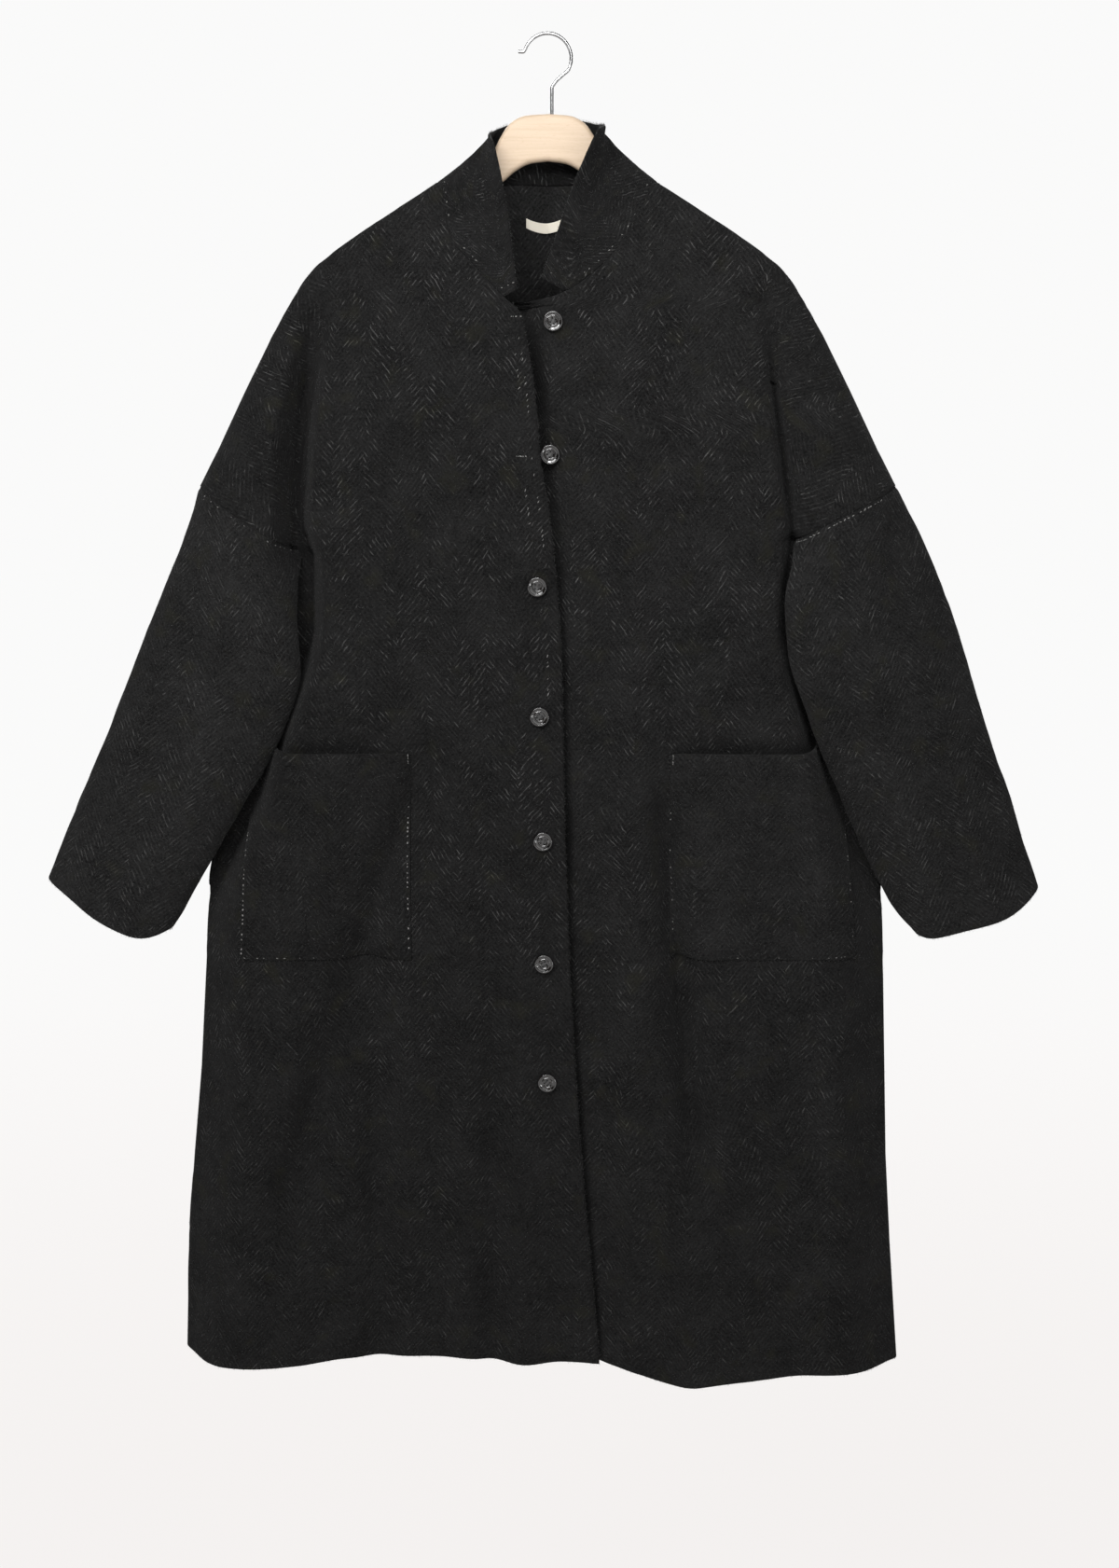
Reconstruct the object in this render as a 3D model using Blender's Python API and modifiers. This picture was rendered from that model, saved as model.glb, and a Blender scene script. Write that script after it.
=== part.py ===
"""Long wool coat with a funnel collar, partly buttoned and hung on a plain wooden hanger.

Sizes are in millimetres. x runs to the viewer's right, y away from the viewer and z up. The origin is the
inner top of the hook's crook. The wearer's right side is at negative x. Each side is drawn in its own
half-width h, which grows outward from the middle of the coat.
"""

import math
from collections import namedtuple

import bmesh
import bpy
import numpy as np

MM = 0.001
SIGN = {"right": -1.0, "left": 1.0}

# Cloth
CLOTH = 3.0
SEAM = 0.3
LAP_STEP = 6.0
LAP_START = 120.0
LAP_FULL = 75.0

# Heights of the main levels
NECK_Z = -131.0
CORNER_Z = -247.0
ARM_TOP_Z = -407.0
UNDERARM_Z = -640.0
SKIRT_Z = -880.0
HEM_Z = -1285.0
MIDDLE_Z = -700.0

# Half-widths of the shoulder seam and of the dropped shoulder below it: z, h
SHOULDER = ((-127, 98), (-158, 148), (-183, 187), (-196, 206))
DROP_EDGE = ((-196, 206), (-209, 220), (-234, 238), (-268, 258), (-320, 285), (-372, 311), (-407, 330))
ARM_TOP_H = 330.0
UNDERARM_H = 296.0

# Foot of the crease between body and sleeve, where the front armhole turns down: h, z
CREASE_FOOT = {"right": (235.0, -472.0), "left": (232.0, -456.0)}

# Crease between body and sleeve: z, h
CREASE = {
    "right": ((-213, 202), (-243, 208), (-345, 225), (-440, 234), (-472, 235)),
    "left": ((-215, 200), (-302, 209), (-358, 217), (-400, 223), (-456, 232)),
}

# Side seam from underarm to hem: z, h
SIDE_SEAM = {
    "right": ((-640, 296), (-809, 336), (-895, 343), (-983, 350), (-1072, 360), (-1163, 369), (-1285, 375)),
    "left": ((-640, 296), (-809, 330), (-895, 335), (-983, 339), (-1072, 343), (-1163, 350), (-1285, 361)),
}

# Neckline and then front edge of each front: z, h (negative h crosses the middle)
FRONT_EDGE = {
    "right": (
        (-127, 98), (-168, 93), (-186, 87), (-197, 76), (-215, 59), (-234, 41), (-247, 27), (-327, 12),
        (-376, 8), (-438, -1), (-560, -11), (-741, -15), (-975, -25), (-1285, -50),
    ),
    "left": (
        (-127, 98), (-168, 80), (-201, 54), (-222, 28), (-231, 11), (-240, -30), (-247, -66), (-327, -60),
        (-438, -48), (-560, -39), (-741, -35), (-975, -25), (-1285, 0),
    ),
}

# Hem height of the fronts: x, z
FRONT_HEM = (
    (-375, -1289), (-350, -1298), (-310, -1291), (-268, -1286), (-193, -1277), (-117, -1274), (-61, -1276),
    (-23, -1282), (15, -1278), (52, -1281), (90, -1293), (147, -1304), (204, -1301), (279, -1297), (330, -1301),
    (361, -1302),
)

# Depth of the hollow coat: z, distance from the seam plane
SEAM_PLANE = ((-127, 0), (-300, 0), (-640, 8), (-1300, 8))
FRONT_DEPTH = ((-127, 40), (-250, 41), (-400, 45), (-640, 52), (-1300, 57))
BACK_DEPTH = ((-127, 34), (-250, 38), (-640, 38), (-1300, 36))
RIDGE_ROUND = 14.0
RIDGE_FALL = 170.0
DROP_ROUND = ((-127, 15), (-200, 16), (-300, 44), (-420, 46))
SIDE_ROLL = 8.0
BACK_ROUND = 42.0
BACK_ARM_FLAT = 0.4
BACK_ARM_START = 225.0
BACK_ARM_WIDTH = 75.0

# Crease: z, share of the full depth
CREASE_SHARE = (
    (-213, 0), (-250, 0.16), (-300, 0.36), (-345, 0.52), (-400, 0.74), (-440, 0.9), (-472, 1), (-1300, 1),
)
# Flat strip that lies behind the sleeve, and the width over which the body then swells: z, mm
BEHIND_SLEEVE = (
    (-127, 0), (-440, 0), (-460, 6), (-510, 22), (-563, 35), (-640, 34), (-700, 30), (-757, 16), (-800, 6),
    (-850, 0), (-1300, 0),
)
BODY_SWELL = ((-127, 30), (-345, 30), (-470, 36), (-640, 44), (-900, 62), (-1300, 82))
# Share of the side's swell that is rounded instead of hollow: z, share
SKIRT_ARCH = ((-127, 0), (-820, 0), (-950, 1), (-1300, 1))
DROP_SWELL = 34.0
# Share of a front's width at which one column of points follows the crease: z, most
PIN_LIMIT = ((-131, 0.7), (-300, 0.76), (-345, 0.85), (-440, 0.95), (-500, 0.9), (-1300, 0.9))

# Soft folds; depth is positive for a trough, negative for a ridge
Fold = namedtuple("Fold", "x_top z_top x_end z_end depth width")
FOLD_START = 3.5
FOLD_END = 6.0
FRONT_FOLDS = {
    "right": (
        Fold(-150, -720, -194, -1330, 9, 27),
        Fold(-54, -790, -80, -1330, 7, 22),
        Fold(-252, -880, -276, -1330, -6, 36),
        Fold(-196, -850, -290, -1160, 5, 22),
        Fold(-172, -180, -190, -400, 6, 14),
    ),
    "left": (
        Fold(92, -650, 128, -1080, 13, 20),
        Fold(70, -760, 92, -1180, -6, 24),
        Fold(150, -980, 150, -1330, -15, 46),
        Fold(238, -860, 262, -1330, 7, 30),
    ),
}
BACK_FOLDS = (
    Fold(-120, -420, -150, -1330, -8, 40),
    Fold(-40, -520, -48, -1330, -6, 34),
    Fold(62, -380, 84, -1330, -9, 38),
    Fold(190, -560, 215, -1330, -8, 42),
    Fold(-238, -640, -262, -1330, -6, 36),
)

# Sleeve sections from armhole to cuff. outer, inner and under are the upper edge, the folded inner edge
# and the underarm seam; front and back are the swell of each half.
Section = namedtuple(
    "Section", "outer_h outer_z inner_h inner_z inner_y under_h under_z under_y outer_y front back"
)
SLEEVE = {
    "right": (
        Section(350, -459, 236, -525, -16, 303, -655, -3, 0, 34, 25),
        Section(372, -512, 244, -580, -21, 310, -675, -5, -1, 31, 22),
        Section(396, -568, 268, -640, -22, 322, -705, -6, -2, 30, 20),
        Section(424, -636, 298, -708, -22, 338, -745, -7, -3, 29, 18),
        Section(455, -704, 331, -777, -20, 356, -790, -9, -4, 28, 17),
        Section(479, -758, 357, -822, -16, 369, -826, -11, -5, 27, 16),
        Section(489, -782, 368, -839, -14, 376, -841, -12, -5, 27, 16),
    ),
    "left": (
        Section(355, -452, 236, -510, -16, 303, -655, -3, 0, 34, 25),
        Section(378, -502, 246, -562, -21, 309, -675, -5, -1, 31, 22),
        Section(398, -553, 262, -620, -22, 318, -705, -6, -2, 30, 20),
        Section(420, -620, 281, -690, -22, 331, -745, -7, -3, 29, 18),
        Section(445, -690, 310, -757, -20, 345, -790, -9, -4, 28, 17),
        Section(469, -762, 347, -823, -16, 360, -828, -11, -5, 27, 16),
        Section(480, -792, 361, -843, -14, 369, -845, -12, -5, 27, 16),
    ),
}
# Uneven length of the cuffs along the sleeve: share of the way from the outer to the inner edge, mm
CUFF_DROP = {
    "right": ((0, 6), (0.2, 9), (0.5, 18), (0.78, 19), (0.87, 14), (1, -3)),
    "left": ((0, 5), (0.33, 16), (0.66, 10), (0.93, 7), (1, 0)),
}
SLEEVE_SQUARENESS = 2.4
SLEEVE_AXIS = (0.4, -0.92)
SLEEVE_SEAM_OUT = 0.38
SLEEVE_SEAM_DOWN = 0.33
SLEEVE_SEAM_FORWARD = 0.5

# Collar: upper edge from the right end round the back to the left end, by the share of the way round
CollarTop = namedtuple("CollarTop", "share x y z")
COLLAR_TOP = (
    CollarTop(0.00, -51, -34, -97),
    CollarTop(0.10, -57, -16, -90),
    CollarTop(0.26, -51, 3, -84),
    CollarTop(0.40, -29, 18, -77),
    CollarTop(0.50, 0, 22, -75),
    CollarTop(0.60, 30, 18, -75),
    CollarTop(0.74, 51, 3, -80),
    CollarTop(0.90, 56, -16, -83),
    CollarTop(1.00, 45, -34, -91),
)
COLLAR_END = {"right": (-30.0, -227.0), "left": (-4.0, -216.0)}
COLLAR_SEAM_END_Z = {"right": -233.0, "left": -228.0}
COLLAR_FLARE = 4.0
COLLAR_FOOT_TILT = 0.4
COLLAR_GAP = 1.0
COLLAR_INSET = 0.9

# Patch pockets: corners of the sewn patch
POCKET_TOP_Z = -659.0
POCKET_BOTTOM_Z = -861.0
Pocket = namedtuple("Pocket", "inner_h top_h bottom_h")
POCKETS = {"right": Pocket(133, 286, 299), "left": Pocket(118, 284, 298)}
POCKET_GAP = 0.8

# Buttons: x, z of the centres
BUTTONS = (
    (5.0, -255.0), (2.2, -376.0), (-10.0, -498.0), (-8.0, -621.0), (-5.0, -742.0), (-4.0, -863.0),
    (-1.0, -984.0),
)
BUTTONS_UNDER = 2
BUTTON_RADIUS = 9.0
BUTTON_THICK = 3.6
BUTTON_RIM = 1.8
BUTTON_DISH = 0.9

# Label inside the back neck
LABEL_X = -2.6
LABEL_TOP_Z = -160.5
LABEL_WIDTH = 36.0
LABEL_HEIGHT = 11.0
LABEL_SAG = 5.0
LABEL_WALL = 0.6

# Hanger
BAR_THICK = 12.0
BAR_EDGE = 5.0
BAR_UNDER_SEAM = 4.5
BAR_TIP_H = 193.0
BAR_TOP = ((0, -69), (20, -70.5), (34, -77), (43, -89), (51, -104), (62, -118), (76, -129), (90, -136))
BAR_ARCH = ((0, -111), (16, -113), (30, -120), (41, -129), (70, -147))
BAR_ARM_H = (105.0, 125.0, 150.0, 175.0)
BAR_UNDER = ((150.0, 32.0), (100.0, 35.0))
BAR_TIP_HEIGHT = 24.0
BAR_TIP_ROUND = 6.0
WIRE_RADIUS = 1.7
HOOK_INNER = 20.0
HOOK_STEM_X = 4.0
HOOK_BEND_Z = -47.0
HOOK_REACH = 15.0
HOOK_CLEAR = 0.3
HOOK_START, HOOK_END = math.radians(-28), math.radians(158)
HOOK_SWEEP = ((3.5, 6.5), (9.5, 12.0))
HOOK_TIP = ((-2.2, -2.6), (-6.5, -2.4))

# Finishes: colour, roughness, metallic
CLOTH_PIECES = (
    "front_right", "front_left", "back", "sleeve_right", "sleeve_left", "collar", "pocket_right",
    "pocket_left",
)
WOOL_FINISH = (0.016, 0.016, 0.017), 0.95, 0.0
HORN_FINISH = (0.05, 0.048, 0.047), 0.25, 0.0
TAPE_FINISH = (0.78, 0.75, 0.68), 0.85, 0.0
BEECH_FINISH = (0.72, 0.52, 0.33), 0.5, 0.0
STEEL_FINISH = (0.62, 0.62, 0.62), 0.22, 1.0

# Mesh fineness
BODY_COLUMNS, DROP_COLUMNS = 10, 5
POCKET_INNER_COLUMN = 4
BACK_COLUMNS = 18
ROWS_NECK, ROWS_CHEST, ROWS_SEAM, ROWS_ARM, ROWS_WAIST, ROWS_SKIRT = 7, 5, 3, 5, 4, 5
RING_FRONT, RING_STRIP, RING_BACK = 10, 5, 9
COLLAR_STATIONS, COLLAR_ROWS = 22, 5
NECK_SAMPLES, BACK_NECK_SAMPLES, BACK_NECK_ENDS = 40, 60, 2
BUTTON_STEPS, SEAT_CIRCLES = 24, 4
LABEL_COLUMNS, LABEL_ROWS = 6, 2
HOOK_STEM_POINTS, HOOK_POINTS = 4, 22
DRILL_SIDES = 16
EVEN_SHARE = 0.3
EDGE_ANGLE = math.radians(50)
BAR_EDGE_ANGLE = math.radians(40)
WELD = 0.01


def curve(table, at):
    """Smooth curve through rows of position and value, with no overshoot between the rows."""
    position, value = np.array(sorted(table), float).T
    step = np.diff(position)
    rise = np.diff(value) / step
    slope = np.zeros(len(position))
    slope[0], slope[-1] = rise[0], rise[-1]
    product = rise[:-1] * rise[1:]
    steady = product > 0
    slope[1:-1][steady] = 2 * product[steady] / (rise[:-1] + rise[1:])[steady]
    at = np.clip(at, position[0], position[-1])
    i = np.clip(np.searchsorted(position, at) - 1, 0, len(step) - 1)
    f = (at - position[i]) / step[i]
    start = value[i] + f * step[i] * slope[i] * (1 - f) ** 2
    return start + f * f * (3 - 2 * f) * (value[i + 1] - value[i]) - f * f * (1 - f) * step[i] * slope[i + 1]


def ease(f):
    """0 to 1 with a soft start and a soft end."""
    f = np.clip(f, 0, 1)
    return f * f * (3 - 2 * f)


def bow(f):
    """Quarter of an ellipse: 0 at the edge, 1 on the flat."""
    return np.sqrt(1 - (1 - np.clip(f, 0, 1)) ** 2)


def distance(h, z, line):
    """Distance of points from a line of (h, z) corners."""
    nearest = np.full(np.shape(h), np.inf)
    for (h0, z0), (h1, z1) in zip(line[:-1], line[1:]):
        along_h, along_z = h1 - h0, z1 - z0
        share = ((h - h0) * along_h + (z - z0) * along_z) / (along_h**2 + along_z**2)
        share = np.clip(share, 0, 1)
        nearest = np.minimum(nearest, np.hypot(h - h0 - share * along_h, z - z0 - share * along_z))
    return nearest


def swapped(table):
    """Rows of (z, h) as (h, z) corners."""
    return [(h, z) for z, h in table]


def front_outer(side, z):
    """Half-width of a front's outer boundary: shoulder, dropped shoulder, armhole, side seam."""
    foot_h, foot_z = CREASE_FOOT[side]
    edge = np.where(z >= SHOULDER[-1][0], curve(SHOULDER, z), curve(DROP_EDGE, z))
    to_foot = np.interp(-z, (-ARM_TOP_Z, -foot_z), (ARM_TOP_H, foot_h))
    to_underarm = np.interp(-z, (-foot_z, -UNDERARM_Z), (foot_h, UNDERARM_H))
    edge = np.where(z < ARM_TOP_Z, to_foot, edge)
    edge = np.where(z < foot_z, to_underarm, edge)
    return np.where(z < UNDERARM_Z, curve(SIDE_SEAM[side], z), edge)


def back_outer(side, z):
    """Half-width of the back's outer boundary."""
    edge = np.where(z >= SHOULDER[-1][0], curve(SHOULDER, z), curve(DROP_EDGE, z))
    armhole = np.interp(-z, (-ARM_TOP_Z, -UNDERARM_Z), (ARM_TOP_H, UNDERARM_H))
    edge = np.where(z < ARM_TOP_Z, armhole, edge)
    return np.where(z < UNDERARM_Z, curve(SIDE_SEAM[side], z), edge)


def fold_shift(folds, x, z):
    """Movement away from the viewer made by the soft folds."""
    shift = np.zeros(np.shape(x))
    for fold in folds:
        share = (fold.z_top - z) / (fold.z_top - fold.z_end)
        middle = fold.x_top + (fold.x_end - fold.x_top) * share
        window = ease(share * FOLD_START) * ease((1 - share) * FOLD_END)
        shift = shift + fold.depth * window * np.exp(-(((x - middle) / fold.width) ** 2))
    return shift


def ridge_depth(h, z, full):
    """Depth below the shoulder seam: rounded over the hanger, then falling outward to the full depth."""
    away = distance(np.abs(h), z, swapped(SHOULDER))
    return RIDGE_ROUND * bow(away / RIDGE_ROUND) + (full - RIDGE_ROUND) * ease(away / RIDGE_FALL)


def front_surface(side, h, z):
    """y of a front's outer face."""
    foot_z = CREASE_FOOT[side][1]
    crease_line = swapped(CREASE[side]) + [(UNDERARM_H, UNDERARM_Z)] + swapped(SIDE_SEAM[side])[1:]
    away = distance(h, z, crease_line)
    share = curve(CREASE_SHARE, z)
    rise = np.clip((away - curve(BEHIND_SLEEVE, z)) / curve(BODY_SWELL, z), 0, 1)
    swell = ease(rise) + (np.sin(rise * math.pi / 2) - ease(rise)) * curve(SKIRT_ARCH, z)
    body = 1 - share * (1 - swell)
    drop = 1 - share * (1 - ease(away / DROP_SWELL))
    outside = (h > curve(CREASE[side], z)) & (z > foot_z)
    depth = ridge_depth(h, z, curve(FRONT_DEPTH, z)) * np.where(outside, drop, body)
    depth = depth * bow(distance(h, z, swapped(DROP_EDGE)) / curve(DROP_ROUND, z))
    seam = distance(h, z, swapped(SIDE_SEAM[side]))
    roll = SIDE_ROLL * bow(seam / SIDE_ROLL) * (z <= UNDERARM_Z)
    depth = np.cbrt(depth**3 + roll**3)
    lap = LAP_STEP * ease((LAP_START - h) / (LAP_START - LAP_FULL)) * (side == "right")
    folds = fold_shift(FRONT_FOLDS[side], SIGN[side] * h, z) * ease(seam / BACK_ROUND)
    return curve(SEAM_PLANE, z) - depth - lap + folds


def back_surface(x, z):
    """y of the back's outer face."""
    h = np.abs(x)
    depth = ridge_depth(h, z, curve(BACK_DEPTH, z))
    depth = depth * bow(distance(h, z, swapped(DROP_EDGE)) / curve(DROP_ROUND, z))
    by_arm = ease((h - BACK_ARM_START) / BACK_ARM_WIDTH) * ease((z - SKIRT_Z) / (UNDERARM_Z - SKIRT_Z))
    seam_right = distance(h, z, swapped(SIDE_SEAM["right"]))
    seam_left = distance(h, z, swapped(SIDE_SEAM["left"]))
    seam = np.where(x < 0, seam_right, seam_left)
    depth = depth * (1 - BACK_ARM_FLAT * by_arm) * bow(seam / BACK_ROUND)
    return curve(SEAM_PLANE, z) + depth - fold_shift(BACK_FOLDS, x, z) * ease(seam / BACK_ROUND)


def levels(*stops_and_rows):
    """Heights between stops, with the given number of rows in each stretch."""
    stops, rows = stops_and_rows[0::2], stops_and_rows[1::2]
    runs = [np.linspace(a, b, n, endpoint=False) for a, b, n in zip(stops[:-1], stops[1:], rows)]
    return np.concatenate(runs + [stops[-1:]])


def hang(x, z):
    """Moves level rows of the skirt down to the uneven hem."""
    share = np.clip((SKIRT_Z - z) / (SKIRT_Z - HEM_Z), 0, 1)
    return z + share * (curve(FRONT_HEM, x) - HEM_Z)


def spread(count):
    """Shares from 0 to 1, closer together towards 1."""
    even = np.linspace(0, 1, count + 1)
    return EVEN_SHARE * even + (1 - EVEN_SHARE) * np.sin(even * math.pi / 2)


def inward(grid, towards, wrap=False):
    """Unit directions at each point of a grid, all to the side where most of towards lies."""
    if wrap:
        across = np.roll(grid, -1, axis=1) - np.roll(grid, 1, axis=1)
    else:
        across = np.gradient(grid, axis=1)
    normal = np.cross(np.gradient(grid, axis=0), across)
    normal /= np.linalg.norm(normal, axis=2, keepdims=True)
    return normal if np.sum(normal * (towards - grid)) > 0 else -normal


def middle_line(grid):
    """Points inside the coat, level with its middle, that the walls face."""
    return grid * (0.5, 0, 0) + (0, 0, MIDDLE_Z)


def in_seam_plane(directions, rows):
    """Turns the directions on a seam's rows into the plane of the seam."""
    directions[rows, -1, 1] = 0
    directions[rows, -1] /= np.linalg.norm(directions[rows, -1], axis=1, keepdims=True)


def in_armhole_plane(directions, start, end):
    """Turns directions on a straight armhole edge into the upright plane of that edge."""
    across = np.array((end[1] - start[1], 0, start[0] - end[0]))
    across /= np.linalg.norm(across)
    flat = directions - np.sum(directions * across, axis=-1, keepdims=True) * across
    return flat / np.linalg.norm(flat, axis=-1, keepdims=True)


def material(name, colour, roughness, metallic):
    made = bpy.data.materials.new(name)
    made.use_nodes = True
    shader = made.node_tree.nodes["Principled BSDF"]
    shader.inputs["Base Color"].default_value = (*colour, 1)
    shader.inputs["Roughness"].default_value = roughness
    shader.inputs["Metallic"].default_value = metallic
    return made


def finish_object(name, mesh, finish):
    mesh.materials.append(finish)
    made = bpy.data.objects.new(name, mesh)
    coat.objects.link(made)
    return made


def shell(name, outer, inner, finish, wrap=False):
    """Closed wall between an outer and an inner grid of points."""
    build = bmesh.new()
    rows, columns = outer.shape[:2]
    faces = [[[build.verts.new(p * MM) for p in row] for row in grid] for grid in (outer, inner)]
    across = range(columns if wrap else columns - 1)
    for grid in faces:
        for i in range(rows - 1):
            for j in across:
                k = (j + 1) % columns
                build.faces.new((grid[i][j], grid[i][k], grid[i + 1][k]))
                build.faces.new((grid[i][j], grid[i + 1][k], grid[i + 1][j]))
    top = [[grid[0][j] for j in range(columns)] for grid in faces]
    bottom = [[grid[-1][j] for j in range(columns)] for grid in faces]
    rims = [(top, across), (bottom, across)]
    if not wrap:
        for j in (0, -1):
            rims.append(([[row[j] for row in grid] for grid in faces], range(rows - 1)))
    for (edge, edge_inside), steps in rims:
        for i in steps:
            k = (i + 1) % len(edge)
            build.faces.new((edge[i], edge[k], edge_inside[k], edge_inside[i]))
    bmesh.ops.recalc_face_normals(build, faces=build.faces)
    if build.calc_volume(signed=True) < 0:
        bmesh.ops.reverse_faces(build, faces=build.faces)
    mesh = bpy.data.meshes.new(name)
    build.to_mesh(mesh)
    build.free()
    mesh.shade_smooth()
    mesh.set_sharp_from_angle(angle=EDGE_ANGLE)
    return finish_object(name, mesh, finish)


def in_pocket(z):
    """Whether a row of a front is one that its pocket covers."""
    return (z <= POCKET_TOP_Z) & (z >= POCKET_BOTTOM_Z)


def front_grid(side):
    """Outer face of a front, from the front edge out to the side, from the neck down to the hem."""
    foot_z = CREASE_FOOT[side][1]
    z = levels(
        NECK_Z, ROWS_NECK, CORNER_Z, ROWS_CHEST, ARM_TOP_Z, ROWS_SEAM, foot_z, ROWS_ARM, UNDERARM_Z, 1,
        POCKET_TOP_Z, ROWS_WAIST, POCKET_BOTTOM_Z, 1, SKIRT_Z, ROWS_SKIRT, HEM_Z,
    )[:, None]
    inner_h, outer_h = curve(FRONT_EDGE[side], z), front_outer(side, z)
    pocket_edge = (POCKET_TOP_Z, POCKETS[side].top_h), (POCKET_BOTTOM_Z, POCKETS[side].bottom_h)
    limit_h = inner_h + (outer_h - inner_h) * curve(PIN_LIMIT, z)
    pin_h = np.where(z < foot_z, limit_h, np.minimum(curve(CREASE[side], z), limit_h))
    pin_h = np.where(in_pocket(z), curve(pocket_edge, z), pin_h)
    body_h = inner_h + (pin_h - inner_h) * spread(BODY_COLUMNS)
    drop_h = pin_h + (outer_h - pin_h) * spread(DROP_COLUMNS)[1:]
    h = np.concatenate((body_h, drop_h), axis=1)
    h[in_pocket(z[:, 0]), POCKET_INNER_COLUMN] = POCKETS[side].inner_h
    x = SIGN[side] * h
    y = front_surface(side, h, z)
    on_seam = (z[:, 0] >= ARM_TOP_Z) | (z[:, 0] <= UNDERARM_Z)
    y[on_seam, -1] = curve(SEAM_PLANE, z[on_seam, 0]) - SEAM / 2
    return np.stack((x, y, hang(x, z + 0 * x)), axis=2), on_seam


def make_front(side):
    grid, on_seam = front_grid(side)
    level = grid[:, -1, 2]
    into = inward(grid, middle_line(grid))
    into[:, 0, 2] = np.minimum(into[:, 0, 2], 0)
    in_seam_plane(into, on_seam)
    foot_h, foot_z = CREASE_FOOT[side]
    armhole = (level < ARM_TOP_Z) & (level > foot_z)
    corners = (SIGN[side] * ARM_TOP_H, ARM_TOP_Z), (SIGN[side] * foot_h, foot_z)
    into[armhole, -1] = in_armhole_plane(into[armhole, -1], *corners)
    shell(f"front_{side}", grid, grid + CLOTH * into, wool[f"front_{side}"])


def back_grid():
    z = levels(
        NECK_Z, ROWS_NECK, CORNER_Z, ROWS_CHEST, ARM_TOP_Z, ROWS_ARM, UNDERARM_Z, 1, POCKET_TOP_Z, ROWS_WAIST,
        POCKET_BOTTOM_Z, 1, SKIRT_Z, ROWS_SKIRT, HEM_Z,
    )[:, None]
    half = spread(BACK_COLUMNS // 2)
    share = np.concatenate((-half[:0:-1], half))
    x = np.where(share < 0, share * back_outer("right", z), share * back_outer("left", z))
    y = back_surface(x, z)
    on_seam = (z[:, 0] >= ARM_TOP_Z) | (z[:, 0] <= UNDERARM_Z)
    for column in (0, -1):
        y[on_seam, column] = curve(SEAM_PLANE, z[on_seam, 0]) + SEAM / 2
    sides = (np.abs(share) == 1) & (z <= SKIRT_Z)
    return np.stack((x, y, np.where(sides, hang(x, z), z + 0 * x)), axis=2), on_seam


def make_back():
    grid, on_seam = back_grid()
    into = inward(grid, middle_line(grid))
    in_seam_plane(into, on_seam)
    in_seam_plane(into[:, ::-1], on_seam)
    level = grid[:, 0, 2]
    armhole = (level < ARM_TOP_Z) & (level > UNDERARM_Z)
    for column, sign in ((0, -1), (-1, 1)):
        corners = (sign * ARM_TOP_H, ARM_TOP_Z), (sign * UNDERARM_H, UNDERARM_Z)
        into[armhole, column] = in_armhole_plane(into[armhole, column], *corners)
    shell("back", grid, grid + CLOTH * into, wool["back"])


def squared(share):
    """Swell of half a flattened tube across its width."""
    return (1 - np.abs(2 * share - 1) ** SLEEVE_SQUARENESS) ** (1 / SLEEVE_SQUARENESS)


def armhole_ring(side):
    """First ring of a sleeve, along the armhole edges of front and back."""
    foot_h, foot_z = CREASE_FOOT[side]
    down = (1 - np.cos(np.linspace(0, math.pi, RING_FRONT + 1))) / 2
    front_z = ARM_TOP_Z + (foot_z - ARM_TOP_Z) * down
    front_h = front_outer(side, front_z)
    front = np.stack((front_h, front_surface(side, front_h, front_z), front_z), axis=1)
    strip_z = np.linspace(foot_z, UNDERARM_Z, RING_STRIP + 1)[1:]
    strip_h = front_outer(side, strip_z)
    strip = np.stack((strip_h, front_surface(side, strip_h, strip_z), strip_z), axis=1)
    up = (1 - np.cos(np.linspace(0, math.pi, RING_BACK + 1)[1:-1])) / 2
    back_z = UNDERARM_Z + (ARM_TOP_Z - UNDERARM_Z) * up
    back_h = back_outer(side, back_z)
    back = np.stack((back_h, back_surface(SIGN[side] * back_h, back_z), back_z), axis=1)
    front[-1, 1] -= SLEEVE_SEAM_FORWARD
    strip[:, 1] -= SLEEVE_SEAM_FORWARD
    ring = np.concatenate((front, strip, back))
    return ring + (SLEEVE_SEAM_OUT, 0, -SLEEVE_SEAM_DOWN)


def sleeve_ring(row):
    """Closed ring: over the front from outer to inner edge, back along the fold, then up the back."""
    outer = np.array((row.outer_h, row.outer_y, row.outer_z))
    inner = np.array((row.inner_h, row.inner_y, row.inner_z))
    under = np.array((row.under_h, row.under_y, row.under_z))
    forward = np.array((0, -1.0, 0))
    down = (1 - np.cos(np.linspace(0, math.pi, RING_FRONT + 1)))[:, None] / 2
    front = outer + (inner - outer) * down + forward * row.front * squared(down)
    strip = inner + (under - inner) * np.linspace(0, 1, RING_STRIP + 1)[1:, None]
    up = (1 - np.cos(np.linspace(0, math.pi, RING_BACK + 1)[1:-1]))[:, None] / 2
    back = under + (outer - under) * up - forward * row.back * squared(up)
    return np.concatenate((front, strip, back))


def cuff_shift(side):
    """Movement of a sleeve's last ring along the sleeve."""
    down = (1 - np.cos(np.linspace(0, math.pi, RING_FRONT + 1))) / 2
    up = (1 - np.cos(np.linspace(0, math.pi, RING_BACK + 1)[1:-1])) / 2
    share = np.concatenate((down, np.ones(RING_STRIP), 1 - up))
    drop = curve(CUFF_DROP[side], share)
    return np.stack((drop * SLEEVE_AXIS[0], 0 * drop, drop * SLEEVE_AXIS[1]), axis=1)


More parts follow.
